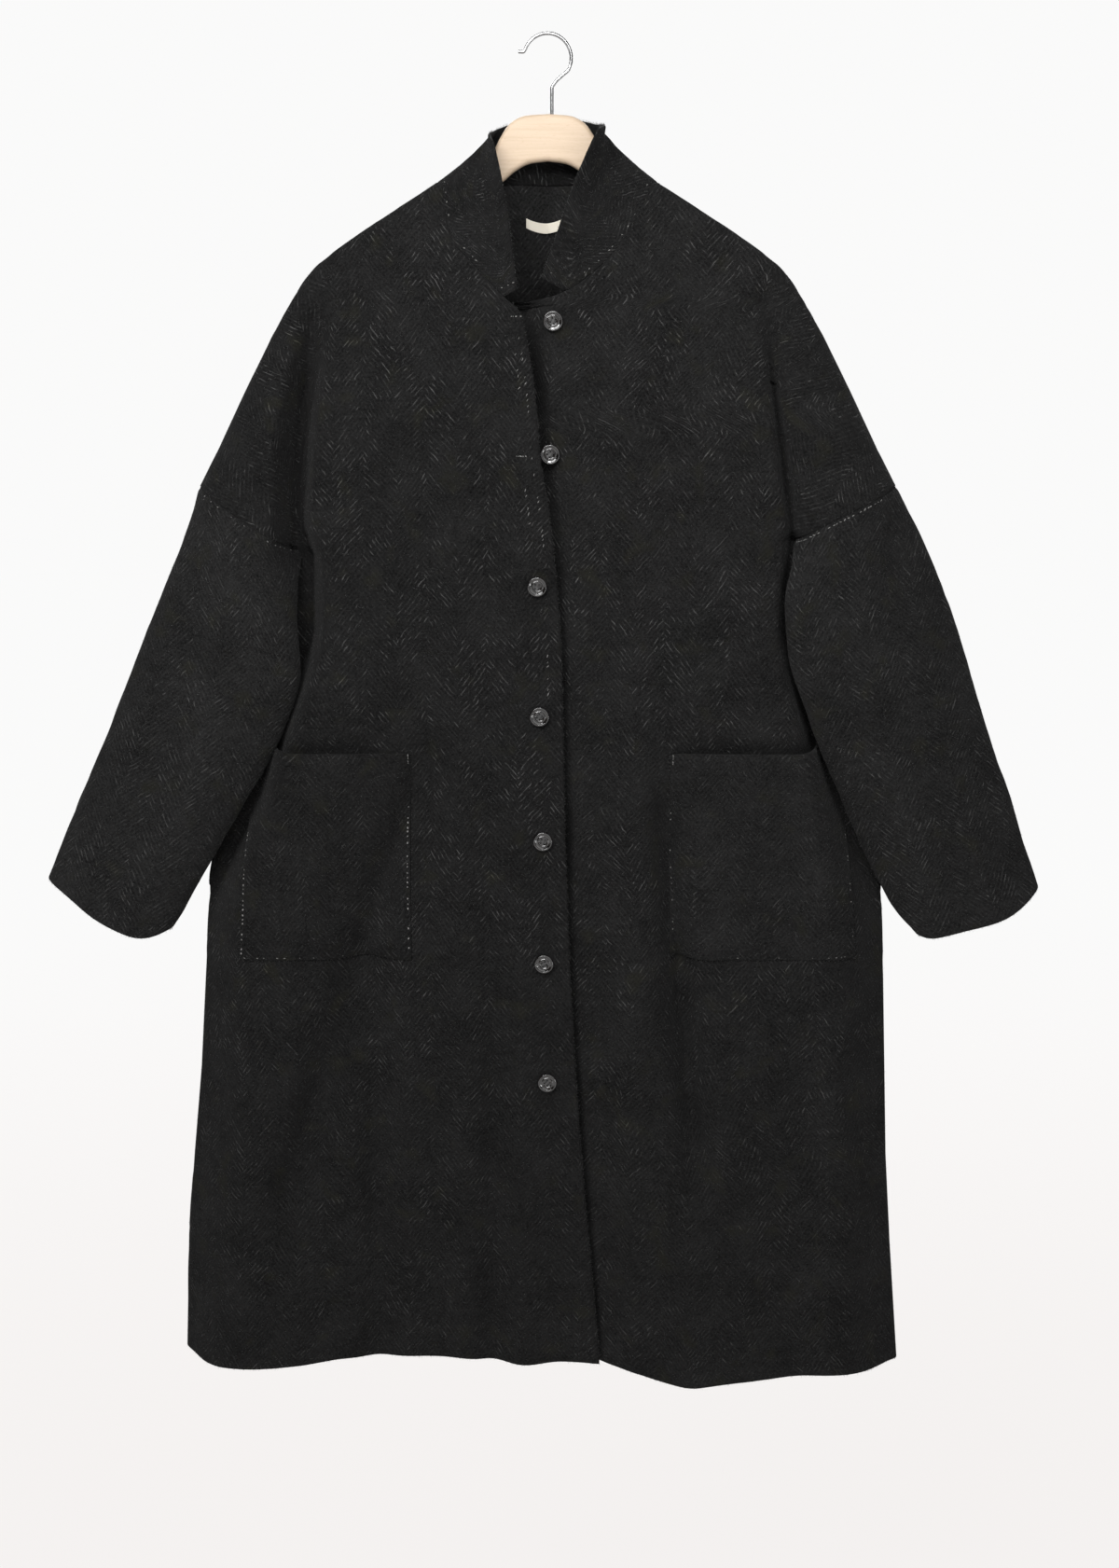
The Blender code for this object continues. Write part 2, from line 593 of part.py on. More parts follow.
def make_sleeve(side):
    rings = np.stack([armhole_ring(side)] + [sleeve_ring(row) for row in SLEEVE[side]])
    rings[-1] += cuff_shift(side)
    middle = rings.mean(axis=1, keepdims=True)
    into = inward(rings, middle, wrap=True)
    top, under = (ARM_TOP_H, ARM_TOP_Z), (UNDERARM_H, UNDERARM_Z)
    over_front, over_back = slice(1, RING_FRONT), slice(RING_FRONT + RING_STRIP + 1, None)
    into[0, over_front] = in_armhole_plane(into[0, over_front], top, CREASE_FOOT[side])
    into[0, over_back] = in_armhole_plane(into[0, over_back], top, under)
    into[0, 0] = in_armhole_plane(np.array((0, 0, -1.0)), top, under)
    inside = rings + CLOTH * into
    facing = (SIGN[side], 1, 1)
    shell(f"sleeve_{side}", rings * facing, inside * facing, wool[f"sleeve_{side}"], wrap=True)


def neck_seam(side):
    """Points of a front's neckline from its end up to the shoulder, on the outer face."""
    z = np.linspace(COLLAR_SEAM_END_Z[side], NECK_Z, NECK_SAMPLES)
    h = curve(FRONT_EDGE[side], z)
    end_x, end_z = COLLAR_END[side]
    seam = np.stack((SIGN[side] * h, front_surface(side, h, z), z), axis=1)
    corner = np.array(((end_x, seam[0, 1] - CLOTH, end_z),))
    return np.concatenate((corner, seam))


def collar_edges(count):
    """Lower and upper edge of the collar at evenly spaced stations round the neck."""
    x = np.linspace(-SHOULDER[0][1], SHOULDER[0][1], BACK_NECK_SAMPLES)[BACK_NECK_ENDS:-BACK_NECK_ENDS]
    back = np.stack((x, back_surface(x, 0 * x + NECK_Z), 0 * x + NECK_Z), axis=1)
    lower = np.concatenate((neck_seam("right"), back, neck_seam("left")[::-1]))
    run = np.concatenate(((0,), np.cumsum(np.linalg.norm(np.diff(lower, axis=0), axis=1))))
    share = np.linspace(0, 1, count + 1)
    lower = np.stack([np.interp(share * run[-1], run, lower[:, k]) for k in range(3)], axis=1)
    upper = [curve([(row.share, row[k]) for row in COLLAR_TOP], share) for k in (1, 2, 3)]
    return lower, np.stack(upper, axis=1)


def make_collar():
    lower, upper = collar_edges(COLLAR_STATIONS)
    rise = upper - lower
    middle = upper.mean(axis=0)
    into_neck = (middle - lower) * (1, 1, 0)
    lower = lower + rise / np.linalg.norm(rise, axis=1, keepdims=True) * COLLAR_GAP
    lower = lower + into_neck / np.linalg.norm(into_neck, axis=1, keepdims=True) * COLLAR_INSET
    share = np.linspace(1, 0, COLLAR_ROWS + 1)[:, None, None]
    grid = lower + (upper - lower) * share
    inner_side = middle * (1, 1, 0) + grid * (0, 0, 1)
    hollow = (4 * share * (1 - share)) * COLLAR_FLARE
    away = inner_side - grid
    grid = grid + hollow * away / np.linalg.norm(away, axis=2, keepdims=True)
    into = inward(grid, inner_side)
    into[-1, :, 2] = COLLAR_FOOT_TILT
    into[-1] /= np.linalg.norm(into[-1], axis=1, keepdims=True)
    shell("collar", grid, grid + CLOTH * into, wool["collar"])


def make_pocket(side):
    """Patch made from the points of its front, moved out."""
    grid, _ = front_grid(side)
    panel = grid[in_pocket(grid[:, 0, 2]), POCKET_INNER_COLUMN:BODY_COLUMNS + 1]
    out = -inward(panel, panel + (0, 1, 0))
    inner = panel + out * POCKET_GAP
    shell(f"pocket_{side}", inner + out * CLOTH, inner, wool[f"pocket_{side}"])


def make_button(index, x, z):
    """Turned disc with a raised rim, standing just off the cloth."""
    side = "left" if index <= BUTTONS_UNDER else "right"
    angle = np.linspace(0, 2 * math.pi, BUTTON_STEPS, endpoint=False)
    radius = np.linspace(0, BUTTON_RADIUS, SEAT_CIRCLES)[:, None]
    foot_x, foot_z = x + radius * np.cos(angle), z + radius * np.sin(angle)
    seat = front_surface(side, SIGN[side] * foot_x, foot_z).min() - 2 * SEAM
    lip = BUTTON_RADIUS - BUTTON_RIM
    profile = (
        (0, BUTTON_THICK - BUTTON_DISH), (lip - BUTTON_DISH, BUTTON_THICK - BUTTON_DISH), (lip, BUTTON_THICK),
        (BUTTON_RADIUS - BUTTON_DISH, BUTTON_THICK), (BUTTON_RADIUS, BUTTON_THICK - BUTTON_DISH),
        (BUTTON_RADIUS, BUTTON_DISH), (BUTTON_RADIUS - BUTTON_DISH, 0), (0, 0),
    )
    mesh = bpy.data.meshes.new(f"button_{index}")
    corners = [(r * MM, 0, height * MM) for r, height in profile]
    mesh.from_pydata(corners, [(i, i + 1) for i in range(len(corners) - 1)], [])
    made = finish_object(f"button_{index}", mesh, horn)
    turn = made.modifiers.new("turn", "SCREW")
    turn.steps = turn.render_steps = BUTTON_STEPS
    turn.use_merge_vertices = True
    turn.merge_threshold = WELD * MM
    turn.use_smooth_shade = True
    made.location = (x * MM, seat * MM, z * MM)
    made.rotation_euler = (math.radians(90), 0, 0)


def make_label():
    """Bare strip tacked at its two ends inside the back neck."""
    across = np.linspace(0, 1, LABEL_COLUMNS + 1)[None, :]
    down = np.linspace(0, 1, LABEL_ROWS + 1)[:, None]
    x = LABEL_X + LABEL_WIDTH * (across - 0.5) + 0 * down
    z = LABEL_TOP_Z - LABEL_SAG * 4 * across * (1 - across) - LABEL_HEIGHT * down
    back = np.stack((x, back_surface(x, z), z), axis=2)
    forward = inward(back, back + (0, -1, 0))
    seat = back + forward * (CLOTH + 2 * SEAM)
    shell("label", seat + forward * LABEL_WALL, seat, tape)


def bar_outline():
    """Half of the hanger's outline, from the middle of the top round the tip to the middle of the arch."""
    slope_h, slope_z = SHOULDER[-1][1] - SHOULDER[0][1], SHOULDER[-1][0] - SHOULDER[0][0]
    length = math.hypot(slope_h, slope_z)
    drop = BAR_UNDER_SEAM * length / slope_h
    arms = [(h, z) for z, h in SHOULDER]
    top = list(BAR_TOP) + [(h, curve(arms, h) - drop) for h in (*BAR_ARM_H, BAR_TIP_H - BAR_TIP_ROUND)]
    tip_z = top[-1][1]
    tip = [
        (BAR_TIP_H, tip_z - BAR_TIP_ROUND), (BAR_TIP_H, tip_z - BAR_TIP_HEIGHT + BAR_TIP_ROUND),
        (BAR_TIP_H - BAR_TIP_ROUND, tip_z - BAR_TIP_HEIGHT),
    ]
    under = [(h, curve(arms, h) - drop - height) for h, height in BAR_UNDER]
    return top + tip + under + list(BAR_ARCH)[::-1]


def make_bar():
    """Flat wooden bar with rounded edges, drilled for the hook."""
    half = bar_outline()
    outline = half[:-1] + [(-h, z) for h, z in half[::-1]][:-1]
    line = bpy.data.curves.new("bar_outline", "CURVE")
    line.dimensions = "2D"
    line.fill_mode = "BOTH"
    line.extrude = (BAR_THICK / 2 - BAR_EDGE) * MM
    line.bevel_depth = BAR_EDGE * MM
    line.bevel_resolution = 2
    line.offset = -BAR_EDGE * MM
    spline = line.splines.new("POLY")
    spline.points.add(len(outline) - 1)
    for point, (h, z) in zip(spline.points, outline):
        point.co = (h * MM, z * MM, 0, 1)
    spline.use_cyclic_u = True
    flat = bpy.data.objects.new("bar_outline", line)
    guides.objects.link(flat)
    flat.rotation_euler = (math.radians(90), 0, 0)
    flat.hide_render = True
    flat.display_type = "WIRE"
    bpy.context.view_layer.update()
    solid = flat.evaluated_get(bpy.context.evaluated_depsgraph_get())
    mesh = bpy.data.meshes.new_from_object(solid)
    weld = bmesh.new()
    weld.from_mesh(mesh)
    bmesh.ops.remove_doubles(weld, verts=weld.verts, dist=WELD * MM)
    bmesh.ops.recalc_face_normals(weld, faces=weld.faces)
    weld.to_mesh(mesh)
    weld.free()
    mesh.materials.clear()
    mesh.shade_smooth()
    mesh.set_sharp_from_angle(angle=BAR_EDGE_ANGLE)
    bar = finish_object("hanger_bar", mesh, beech)
    bar.matrix_world = flat.matrix_world.copy()
    bpy.data.objects.remove(flat)
    bpy.ops.mesh.primitive_cylinder_add(
        vertices=DRILL_SIDES, radius=(WIRE_RADIUS + HOOK_CLEAR) * MM, depth=2 * HOOK_REACH * MM,
        location=(HOOK_STEM_X * MM, 0, BAR_TOP[0][1] * MM),
    )
    drill = bpy.context.object
    drill.name = "hook_drill"
    drill.hide_render = True
    drill.display_type = "WIRE"
    for holder in drill.users_collection:
        holder.objects.unlink(drill)
    guides.objects.link(drill)
    cut = bar.modifiers.new("hook hole", "BOOLEAN")
    cut.object = drill


def make_hook():
    """Bent wire: stem, sweep out to the crook, over the top and down to a short turned-out tip."""
    middle_z = -HOOK_INNER
    crook = HOOK_INNER + WIRE_RADIUS
    foot_z = BAR_TOP[0][1] - HOOK_REACH + 2 * HOOK_CLEAR
    stem = [(HOOK_STEM_X, z) for z in np.linspace(foot_z, HOOK_BEND_Z, HOOK_STEM_POINTS)]
    sweep = [(HOOK_STEM_X + x, HOOK_BEND_Z + z) for x, z in HOOK_SWEEP]
    turns = np.linspace(HOOK_START, HOOK_END, HOOK_POINTS)
    arc = [(crook * math.cos(a), middle_z + crook * math.sin(a)) for a in turns]
    tip = [(arc[-1][0] + x, arc[-1][1] + z) for x, z in HOOK_TIP]
    line = bpy.data.curves.new("hanger_hook", "CURVE")
    line.dimensions = "3D"
    line.bevel_depth = WIRE_RADIUS * MM
    line.bevel_resolution = 2
    line.use_fill_caps = True
    spline = line.splines.new("POLY")
    route = stem + sweep + arc + tip
    spline.points.add(len(route) - 1)
    for point, (x, z) in zip(spline.points, route):
        point.co = (x * MM, 0, z * MM, 1)
    line.materials.append(steel)
    coat.objects.link(bpy.data.objects.new("hanger_hook", line))


def collection(name):
    made = bpy.data.collections.new(name)
    bpy.context.scene.collection.children.link(made)
    return made


for leftover in list(bpy.data.objects):
    bpy.data.objects.remove(leftover)
coat = collection("long_coat_on_hanger")
guides = collection("cutters")

wool = {piece: material(f"wool_{piece}", *WOOL_FINISH) for piece in CLOTH_PIECES}
horn = material("button_horn", *HORN_FINISH)
tape = material("label_tape", *TAPE_FINISH)
beech = material("beech", *BEECH_FINISH)
steel = material("steel_wire", *STEEL_FINISH)

for side in SIGN:
    make_front(side)
    make_sleeve(side)
    make_pocket(side)
make_back()
make_collar()
for index, (x, z) in enumerate(BUTTONS, start=1):
    make_button(index, x, z)
make_label()
make_bar()
make_hook()
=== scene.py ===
"""Long herringbone wool coat on a wooden hanger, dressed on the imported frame.

Sizes are in millimetres. x runs to the viewer's right, y away from the viewer and z up. The wearer's right
side is at negative x. Each side is drawn in its own half-width h, which grows outward from the middle.
"""

import math
from collections import namedtuple

import bmesh
import bpy
import numpy as np
from mathutils import Matrix, Vector


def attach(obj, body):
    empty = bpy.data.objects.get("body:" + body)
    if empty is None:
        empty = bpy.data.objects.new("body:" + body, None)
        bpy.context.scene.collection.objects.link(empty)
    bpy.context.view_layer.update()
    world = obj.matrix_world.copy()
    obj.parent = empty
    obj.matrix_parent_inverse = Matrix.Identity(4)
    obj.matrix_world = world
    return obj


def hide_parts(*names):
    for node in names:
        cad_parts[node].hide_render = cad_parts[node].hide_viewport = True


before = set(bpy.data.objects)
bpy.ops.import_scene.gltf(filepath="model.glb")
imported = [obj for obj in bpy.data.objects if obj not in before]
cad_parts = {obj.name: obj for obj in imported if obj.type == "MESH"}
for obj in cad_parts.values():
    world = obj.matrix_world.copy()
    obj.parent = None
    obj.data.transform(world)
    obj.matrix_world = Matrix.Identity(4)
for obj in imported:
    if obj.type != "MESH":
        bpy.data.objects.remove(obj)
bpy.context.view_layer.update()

MM = 0.001
TINY = 1e-9
SIGN = {"right": -1.0, "left": 1.0}

# Cloth
CLOTH = 3.0
SEAM = 0.3
LAP_STEP = 6.0
LAP_START = 120.0
LAP_FULL = 75.0

# Heights of the main levels
NECK_Z = -131.0
CORNER_Z = -247.0
ARM_TOP_Z = -407.0
UNDERARM_Z = -640.0
SKIRT_Z = -880.0
HEM_Z = -1285.0
MIDDLE_Z = -700.0

# Half-widths of the shoulder seam and of the dropped shoulder below it: z, h
SHOULDER = ((-127, 98), (-158, 148), (-183, 187), (-196, 206))
DROP_EDGE = ((-196, 206), (-209, 220), (-234, 238), (-268, 258), (-320, 285), (-372, 311), (-407, 330))
ARM_TOP_H = 330.0
UNDERARM_H = 296.0
ARM_TOP, UNDERARM = (ARM_TOP_H, ARM_TOP_Z), (UNDERARM_H, UNDERARM_Z)

# Foot of the crease between body and sleeve, where the front armhole turns down: h, z
CREASE_FOOT = {"right": (235.0, -472.0), "left": (232.0, -456.0)}

# Crease between body and sleeve: z, h
CREASE = {
    "right": ((-213, 202), (-243, 208), (-345, 225), (-440, 234), (-472, 235)),
    "left": ((-215, 200), (-302, 209), (-358, 217), (-400, 223), (-456, 232)),
}

# Side seam from underarm to hem: z, h
SIDE_SEAM = {
    "right": ((-640, 296), (-809, 336), (-895, 343), (-983, 350), (-1072, 360), (-1163, 369), (-1285, 375)),
    "left": ((-640, 296), (-809, 330), (-895, 335), (-983, 339), (-1072, 343), (-1163, 350), (-1285, 361)),
}

# Neckline and then front edge of each front: z, h (negative h crosses the middle)
FRONT_EDGE = {
    "right": (
        (-127, 98), (-168, 93), (-186, 87), (-197, 76), (-215, 59), (-234, 41), (-247, 27), (-327, 12),
        (-376, 8), (-438, -1), (-560, -11), (-741, -15), (-975, -25), (-1285, -50),
    ),
    "left": (
        (-127, 98), (-168, 80), (-201, 54), (-222, 28), (-231, 11), (-240, -30), (-247, -66), (-327, -60),
        (-438, -48), (-560, -39), (-741, -35), (-975, -25), (-1285, 0),
    ),
}

# Hem height of the fronts: x, z
FRONT_HEM = (
    (-375, -1289), (-350, -1298), (-310, -1291), (-268, -1286), (-193, -1277), (-117, -1274), (-61, -1276),
    (-23, -1282), (15, -1278), (52, -1281), (90, -1293), (147, -1304), (204, -1301), (279, -1297),
    (330, -1301), (361, -1302),
)

# Depth of the hollow coat: z, distance from the seam plane
SEAM_PLANE = ((-127, 0), (-300, 0), (-640, 8), (-1300, 8))
FRONT_DEPTH = ((-127, 40), (-250, 41), (-400, 45), (-640, 52), (-1300, 57))
BACK_DEPTH = ((-127, 34), (-250, 38), (-640, 38), (-1300, 36))
RIDGE_ROUND = 14.0
RIDGE_FALL = 170.0
DROP_ROUND = ((-127, 15), (-200, 16), (-300, 44), (-420, 46))
SIDE_ROLL = 8.0
BACK_ROUND = 42.0
BACK_ARM_FLAT = 0.4
BACK_ARM_START = 225.0
BACK_ARM_WIDTH = 75.0

# Crease: z, share of the full depth
CREASE_SHARE = {
    "right": (
        (-213, 0), (-250, 0.52), (-300, 0.86), (-345, 0.95), (-400, 0.97), (-440, 0.98), (-472, 1),
        (-1300, 1),
    ),
    "left": (
        (-213, 0), (-250, 0.34), (-300, 0.64), (-345, 0.68), (-400, 0.6), (-456, 0.46), (-510, 0.44),
        (-560, 0.6), (-620, 0.92), (-640, 1), (-1300, 1),
    ),
}
# Flat strip that lies behind the sleeve, and the width over which the body then swells: z, mm
BEHIND_SLEEVE = {
    "right": (
        (-127, 0), (-440, 0), (-460, 6), (-510, 22), (-563, 35), (-640, 34), (-700, 30), (-757, 16),
        (-800, 6), (-850, 0), (-1300, 0),
    ),
    "left": (
        (-127, 0), (-440, 0), (-460, 5), (-510, 25), (-563, 39), (-640, 41), (-700, 33), (-757, 20),
        (-800, 8), (-850, 0), (-1300, 0),
    ),
}
BODY_SWELL = {
    "right": ((-127, 18), (-345, 16), (-470, 18), (-640, 22), (-800, 40), (-900, 62), (-1300, 82)),
    "left": (
        (-127, 10), (-345, 9), (-440, 10), (-520, 8), (-600, 11), (-700, 26), (-800, 52), (-900, 66),
        (-1300, 82),
    ),
}
# Flat foot of the crease on the dropped shoulder, and the width of the swell beyond it
DROP_FLAT = {"right": 9.0, "left": 0.0}
DROP_SWELL = {"right": 20.0, "left": 12.0}
# Share of a front's width at which one column of points follows the crease: z, most
PIN_LIMIT = ((-131, 0.7), (-300, 0.76), (-345, 0.85), (-440, 0.95), (-500, 0.9), (-1300, 0.9))

# Soft folds: x and z of the top, x and z of the end, depth (negative for a ridge), width
FOLD_START = 3.5
FOLD_END = 6.0
FRONT_FOLDS = {
    "right": (
        (-98, -590, -288, -1205, 21, 23),
        (-166, -820, -172, -1330, 10, 16),
        (-52, -860, -56, -1330, 10, 16),
        (-246, -880, -270, -1330, -6, 36),
        (-172, -180, -190, -400, 6, 14),
        (-34, -160, -6, -480, -9, 18),
    ),
    "left": (
        (108, -640, 150, -1120, 24, 13),
        (80, -740, 102, -1180, -7, 20),
        (150, -980, 150, -1330, -15, 46),
        (238, -860, 262, -1330, 7, 30),
        (-30, -180, -14, -362, 21, 14),
        (-22, -262, 8, -520, 11, 13),
        (3, -440, 13, -800, 12, 12),
        (11, -680, 21, -1060, 12, 11),
        (19, -940, 45, -1330, 12, 11),
    ),
}
BACK_FOLDS = (
    (-120, -420, -150, -1330, -12, 36),
    (-62, -480, -80, -1330, 9, 20),
    (62, -380, 84, -1330, -13, 34),
    (122, -560, 150, -1330, 10, 22),
    (200, -560, 225, -1330, -10, 38),
    (-238, -640, -262, -1330, -8, 36),
)

# Sleeve sections from armhole to cuff. outer, inner and under are the upper edge, the folded inner edge
# and the underarm seam, each as h, y, z; front and back are the swell of each half.
Section = namedtuple("Section", "outer inner under front back")
SLEEVE = {
    "right": (
        Section((350, 0, -459), (236, -16, -525), (303, -3, -655), 34, 25),
        Section((372, -1, -512), (233, -21, -580), (310, -5, -675), 31, 22),
        Section((396, -2, -568), (252, -22, -640), (322, -6, -705), 30, 20),
        Section((424, -3, -636), (290, -22, -708), (338, -7, -745), 29, 18),
        Section((455, -4, -704), (331, -20, -777), (356, -9, -790), 28, 17),
        Section((479, -5, -758), (357, -16, -822), (369, -11, -826), 27, 16),
        Section((489, -5, -782), (368, -14, -839), (376, -12, -841), 27, 16),
    ),
    "left": (
        Section((355, 0, -452), (219, -48, -510), (303, -3, -655), 26, 25),
        Section((378, -1, -502), (223, -48, -562), (309, -5, -675), 25, 22),
        Section((398, -2, -553), (243, -38, -620), (318, -6, -705), 27, 20),
        Section((420, -3, -620), (273, -29, -690), (331, -7, -745), 28, 18),
        Section((445, -4, -690), (303, -23, -757), (345, -9, -790), 28, 17),
        Section((469, -5, -762), (342, -16, -823), (360, -11, -828), 27, 16),
        Section((480, -5, -792), (361, -14, -843), (369, -12, -845), 27, 16),
    ),
}
# Uneven length of the cuffs along the sleeve: share of the way from the outer to the inner edge, mm
CUFF_DROP = {
    "right": ((0, 6), (0.2, 9), (0.5, 18), (0.78, 19), (0.87, 14), (1, -3)),
    "left": ((0, 5), (0.33, 16), (0.66, 10), (0.93, 7), (1, 0)),
}
SLEEVE_SQUARENESS = 2.0
SLEEVE_SEAM_OUT = 0.38
SLEEVE_SEAM_DOWN = 0.33
SLEEVE_SEAM_FORWARD = 0.5
SLEEVE_AXIS = (0.4, -0.92)

# Collar: upper edge from the right end round the back to the left end: share of the way, x, y, z
COLLAR_TOP = (
    (0.00, -51, -34, -97),
    (0.10, -55, -16, -89),
    (0.26, -51, 3, -84),
    (0.40, -29, 18, -77),
    (0.50, 0, 22, -75),
    (0.60, 30, 18, -75),
    (0.74, 50, 4, -79),
    (0.90, 53, -16, -82),
    (1.00, 47, -34, -86),
)
COLLAR_END = {"right": (-30.0, -227.0), "left": (-4.0, -216.0)}
COLLAR_SEAM_END_Z = {"right": -233.0, "left": -228.0}
COLLAR_FLARE = 4.0
COLLAR_FOOT_TILT = 0.4
COLLAR_GAP = -1.2
COLLAR_INSET = 0.2

# Patch pockets: corners of the sewn patch
POCKET_TOP_Z = -659.0
POCKET_BOTTOM_Z = -861.0
Pocket = namedtuple("Pocket", "inner_h top_h bottom_h")
POCKETS = {"right": Pocket(133, 286, 299), "left": Pocket(118, 284, 298)}
POCKET_GAP = 0.8
# Dent of the front behind each pocket's mouth: h of its middle, half its width, depth, heights
Dent = namedtuple("Dent", "middle_h half_h depth z_top z_full z_held z_end")
DENT_STEEP = 2.0
MOUTH_DENT = {
    "right": Dent(214, 62, 7.0, -638, -661, -690, -760),
    "left": Dent(200, 88, 6.0, -640, -661, -690, -760),
}

# Buttons: x, z of the centres
BUTTONS = (
    (5.0, -255.0), (2.2, -376.0), (-10.0, -498.0), (-8.0, -621.0), (-5.0, -742.0), (-4.0, -863.0),
    (-1.0, -984.0),
)
BUTTONS_UNDER = 2
BUTTON_RADIUS = 9.0
BUTTON_THICK = 3.6
BUTTON_RIM = 1.8
BUTTON_DISH = 0.9
RING_AT, RING_WIDE, RING_RISE = 4.7, 0.6, 0.65

# Label inside the back neck
LABEL_X = -2.6
LABEL_TOP_Z = -160.5
LABEL_WIDTH = 36.0
LABEL_HEIGHT = 8.4
LABEL_SAG = 4.6
LABEL_WALL = 0.6

# Hanger
BAR_THICK = 12.0
BAR_EDGE = 5.0
BAR_UNDER_SEAM = 4.5
BAR_TIP_H = 193.0
BAR_TOP = ((0, -69), (20, -70.5), (34, -77), (43, -89), (51, -104), (62, -118), (76, -129), (90, -136))
BAR_ARCH = ((0, -111), (16, -113), (30, -120), (41, -129), (70, -147))
BAR_ARM_START = 105.0
BAR_UNDER = ((150.0, 32.0), (100.0, 35.0))
BAR_TIP_HEIGHT = 24.0
BAR_TIP_ROUND = 6.0
WIRE_RADIUS = 1.7
HOOK_INNER = 20.0
HOOK_STEM_X = 4.0
HOOK_BEND_Z = -47.0
HOOK_REACH = 15.0
HOOK_CLEAR = 0.3
HOOK_START, HOOK_END = math.radians(-28), math.radians(158)
HOOK_SWEEP = ((3.5, 6.5), (9.5, 12.0))
HOOK_TIP = ((-2.2, -2.6), (-6.5, -2.4))

# Fineness of the shells
BODY_COLUMNS, DROP_COLUMNS = 66, 24
BACK_COLUMNS = 110
FRONT_ROWS, BACK_ROWS = (34, 42, 18, 46, 60, 106), (34, 42, 64, 60, 106)
RING_FRONT, RING_STRIP, RING_BACK = 60, 26, 56
SLEEVE_ROWS = 112
COLLAR_STATIONS, COLLAR_ROWS = 170, 34
POCKET_COLUMNS, POCKET_ROWS = 50, 58
NECK_SAMPLES, NECK_CORNER_SAMPLES, BACK_NECK_SAMPLES = 120, 10, 120
RIM_STEPS = 5
BAKE_EDGE, BAKE_RIM, BAKE_STITCH = 0.02, 0.014, 0.8
SEAM_ROWS, SLEEVE_FIRST = (0.0, 0.8, 2.0, 3.6), 5.8
POCKET_SHIFT = 9.0

# Unevenness of the cloth: wavelength, height
RIPPLES = ((64.0, 0.9), (27.0, 0.5), (11.0, 0.22))
RIPPLE_SHIFTS = ((17.3, 5.1), (9.7, 3.7))
LATTICE_SIZE, LATTICE_SEED = 64, 7
FRONT_SEED, BACK_SEED, SLEEVE_SEED = 1, 2, {"right": 3, "left": 4}
PANEL_SOFTEN, EDGE_SOFTEN = 2, 3
HEM_WAVE, HEM_RISE = 34.0, 0.9
SEAM_ROUND, SEAM_DIP = 5.0, 1.3
SEAM_BULGE = 0.4
SIDE_HANG = 70.0
POCKET_GAPE, POCKET_GAPE_REACH = 4.5, 55.0
POCKET_PULL, POCKET_PULL_REACH = 1.6, 7.0
SLEEVE_SMOOTH, SLEEVE_SMOOTH_START = 24, 22.0
COLLAR_WAVES = ((38.0, 1.3), (15.0, 0.5))

# Turn of the weave in degrees
DROP_TURN = {"right": 30.0, "left": 38.0}
DROP_TURN_END, DROP_TURN_SOFT = 115.0, 45.0
SLEEVE_TURN = 8.0
COLLAR_TURN = 33.0

# Weave: width of a herringbone column, angle and pitch of its strokes, length of a stroke
WEAVE_COLUMN = 29.0
WEAVE_ANGLE = math.radians(51)
WEAVE_PITCH = 5.9
WEAVE_BREAK = 0.5
STROKE_LENGTH = 8.0
LINE_JITTER = 0.4
WORN_STRETCH, WORN_SHIFT = 0.4, 7.0
WARPS = ((70, 12.0), (11, 2.2))
WOOL_SHIFT = (173.0, 61.0)
# Pieces whose strokes dim towards the hem, as painted shade
HEM_SHADED_PIECES = ("front_right", "front_left", "back")

# Patterns in the wool: size, detail, roughness
WOOL_NOISE = {
    "jitter": (6, 1.0, 0.5), "patch": (60, 1.0, 0.5), "cluster": (15, 1.0, 0.5), "fibre": (1.1, 3.0, 0.65),
    "felt": (7.5, 3.0, 0.6), "drift": (45, 2.0, 0.5), "grain": (2.1, 1.0, 0.5), "olive": (32, 2.0, 0.5),
}

# Shares of patterns in the strokes' phase and rows, in the clusters, in the nap and in the relief
PHASE = {"rise": 1 / WEAVE_PITCH, "column": WEAVE_BREAK, "jitter": LINE_JITTER}
STROKE_ROW = {"line": 3.71, "column": 11.3}
CLUSTERS = {"cluster": 0.75, "patch": 0.45}
NAP = {"felt": 0.2, "fibre": 0.3, "grain": 0.3, "ridge": 0.05, "drift": 0.2}
RELIEF = {"ridge": 0.06, "light": 0.4, "fibre": 0.5, "felt": 0.9}
WOOL_RELIEF = 0.0009

# Span of a pattern over which it comes to show, and how much shows at each end
CLUSTER_SPAN, DASH_SPAN, STROKE_THIN = (0.53, 0.8, 0.06, 1.0), (0.46, 0.63), (0.62, 1.0)
WORN_SPAN, FIBRE_SPAN = (0.3, 0.66, 0.3, 1.0), (0.3, 0.62, 0.3, 1.0)
NAP_SPAN, OLIVE_SPAN = (0.26, 0.82), (0.57, 0.74)
# Dimming of the strokes towards the hem, as painted shade: darker towards the bottom
HEM_PAINTED_SHADE = (-1120.0, -640.0, 0.55, 1.0)

# Colours, linear
WOOL_DARK, WOOL_MID = (0.002, 0.002, 0.002), (0.0207, 0.0206, 0.0205)
WOOL_LIGHT, WOOL_MOSS = (0.127, 0.126, 0.124), (0.1, 0.097, 0.06)
WOOL_OLIVE, OLIVE_SHARE, MOSS_SHARE = (0.0155, 0.0152, 0.0112), 0.45, 1.4
WOOL_SURFACE = {"Roughness": 1.0, "Specular_IOR_Level": 0.0, "Sheen_Weight": 0.03, "Sheen_Roughness": 0.5}
HORN_DARK, HORN_LIGHT = (0.003, 0.0028, 0.0028), (0.013, 0.0108, 0.0098)
TAPE_LIGHT, TAPE_DARK = (0.78, 0.73, 0.63), (0.6, 0.55, 0.46)
BEECH_LIGHT, BEECH_DARK = (0.55, 0.43, 0.315), (0.5, 0.385, 0.275)
BEECH_FLECK = (0.4, 0.285, 0.18)
STEEL_DARK, STEEL_LIGHT = (0.26, 0.26, 0.265), (0.4, 0.4, 0.4)
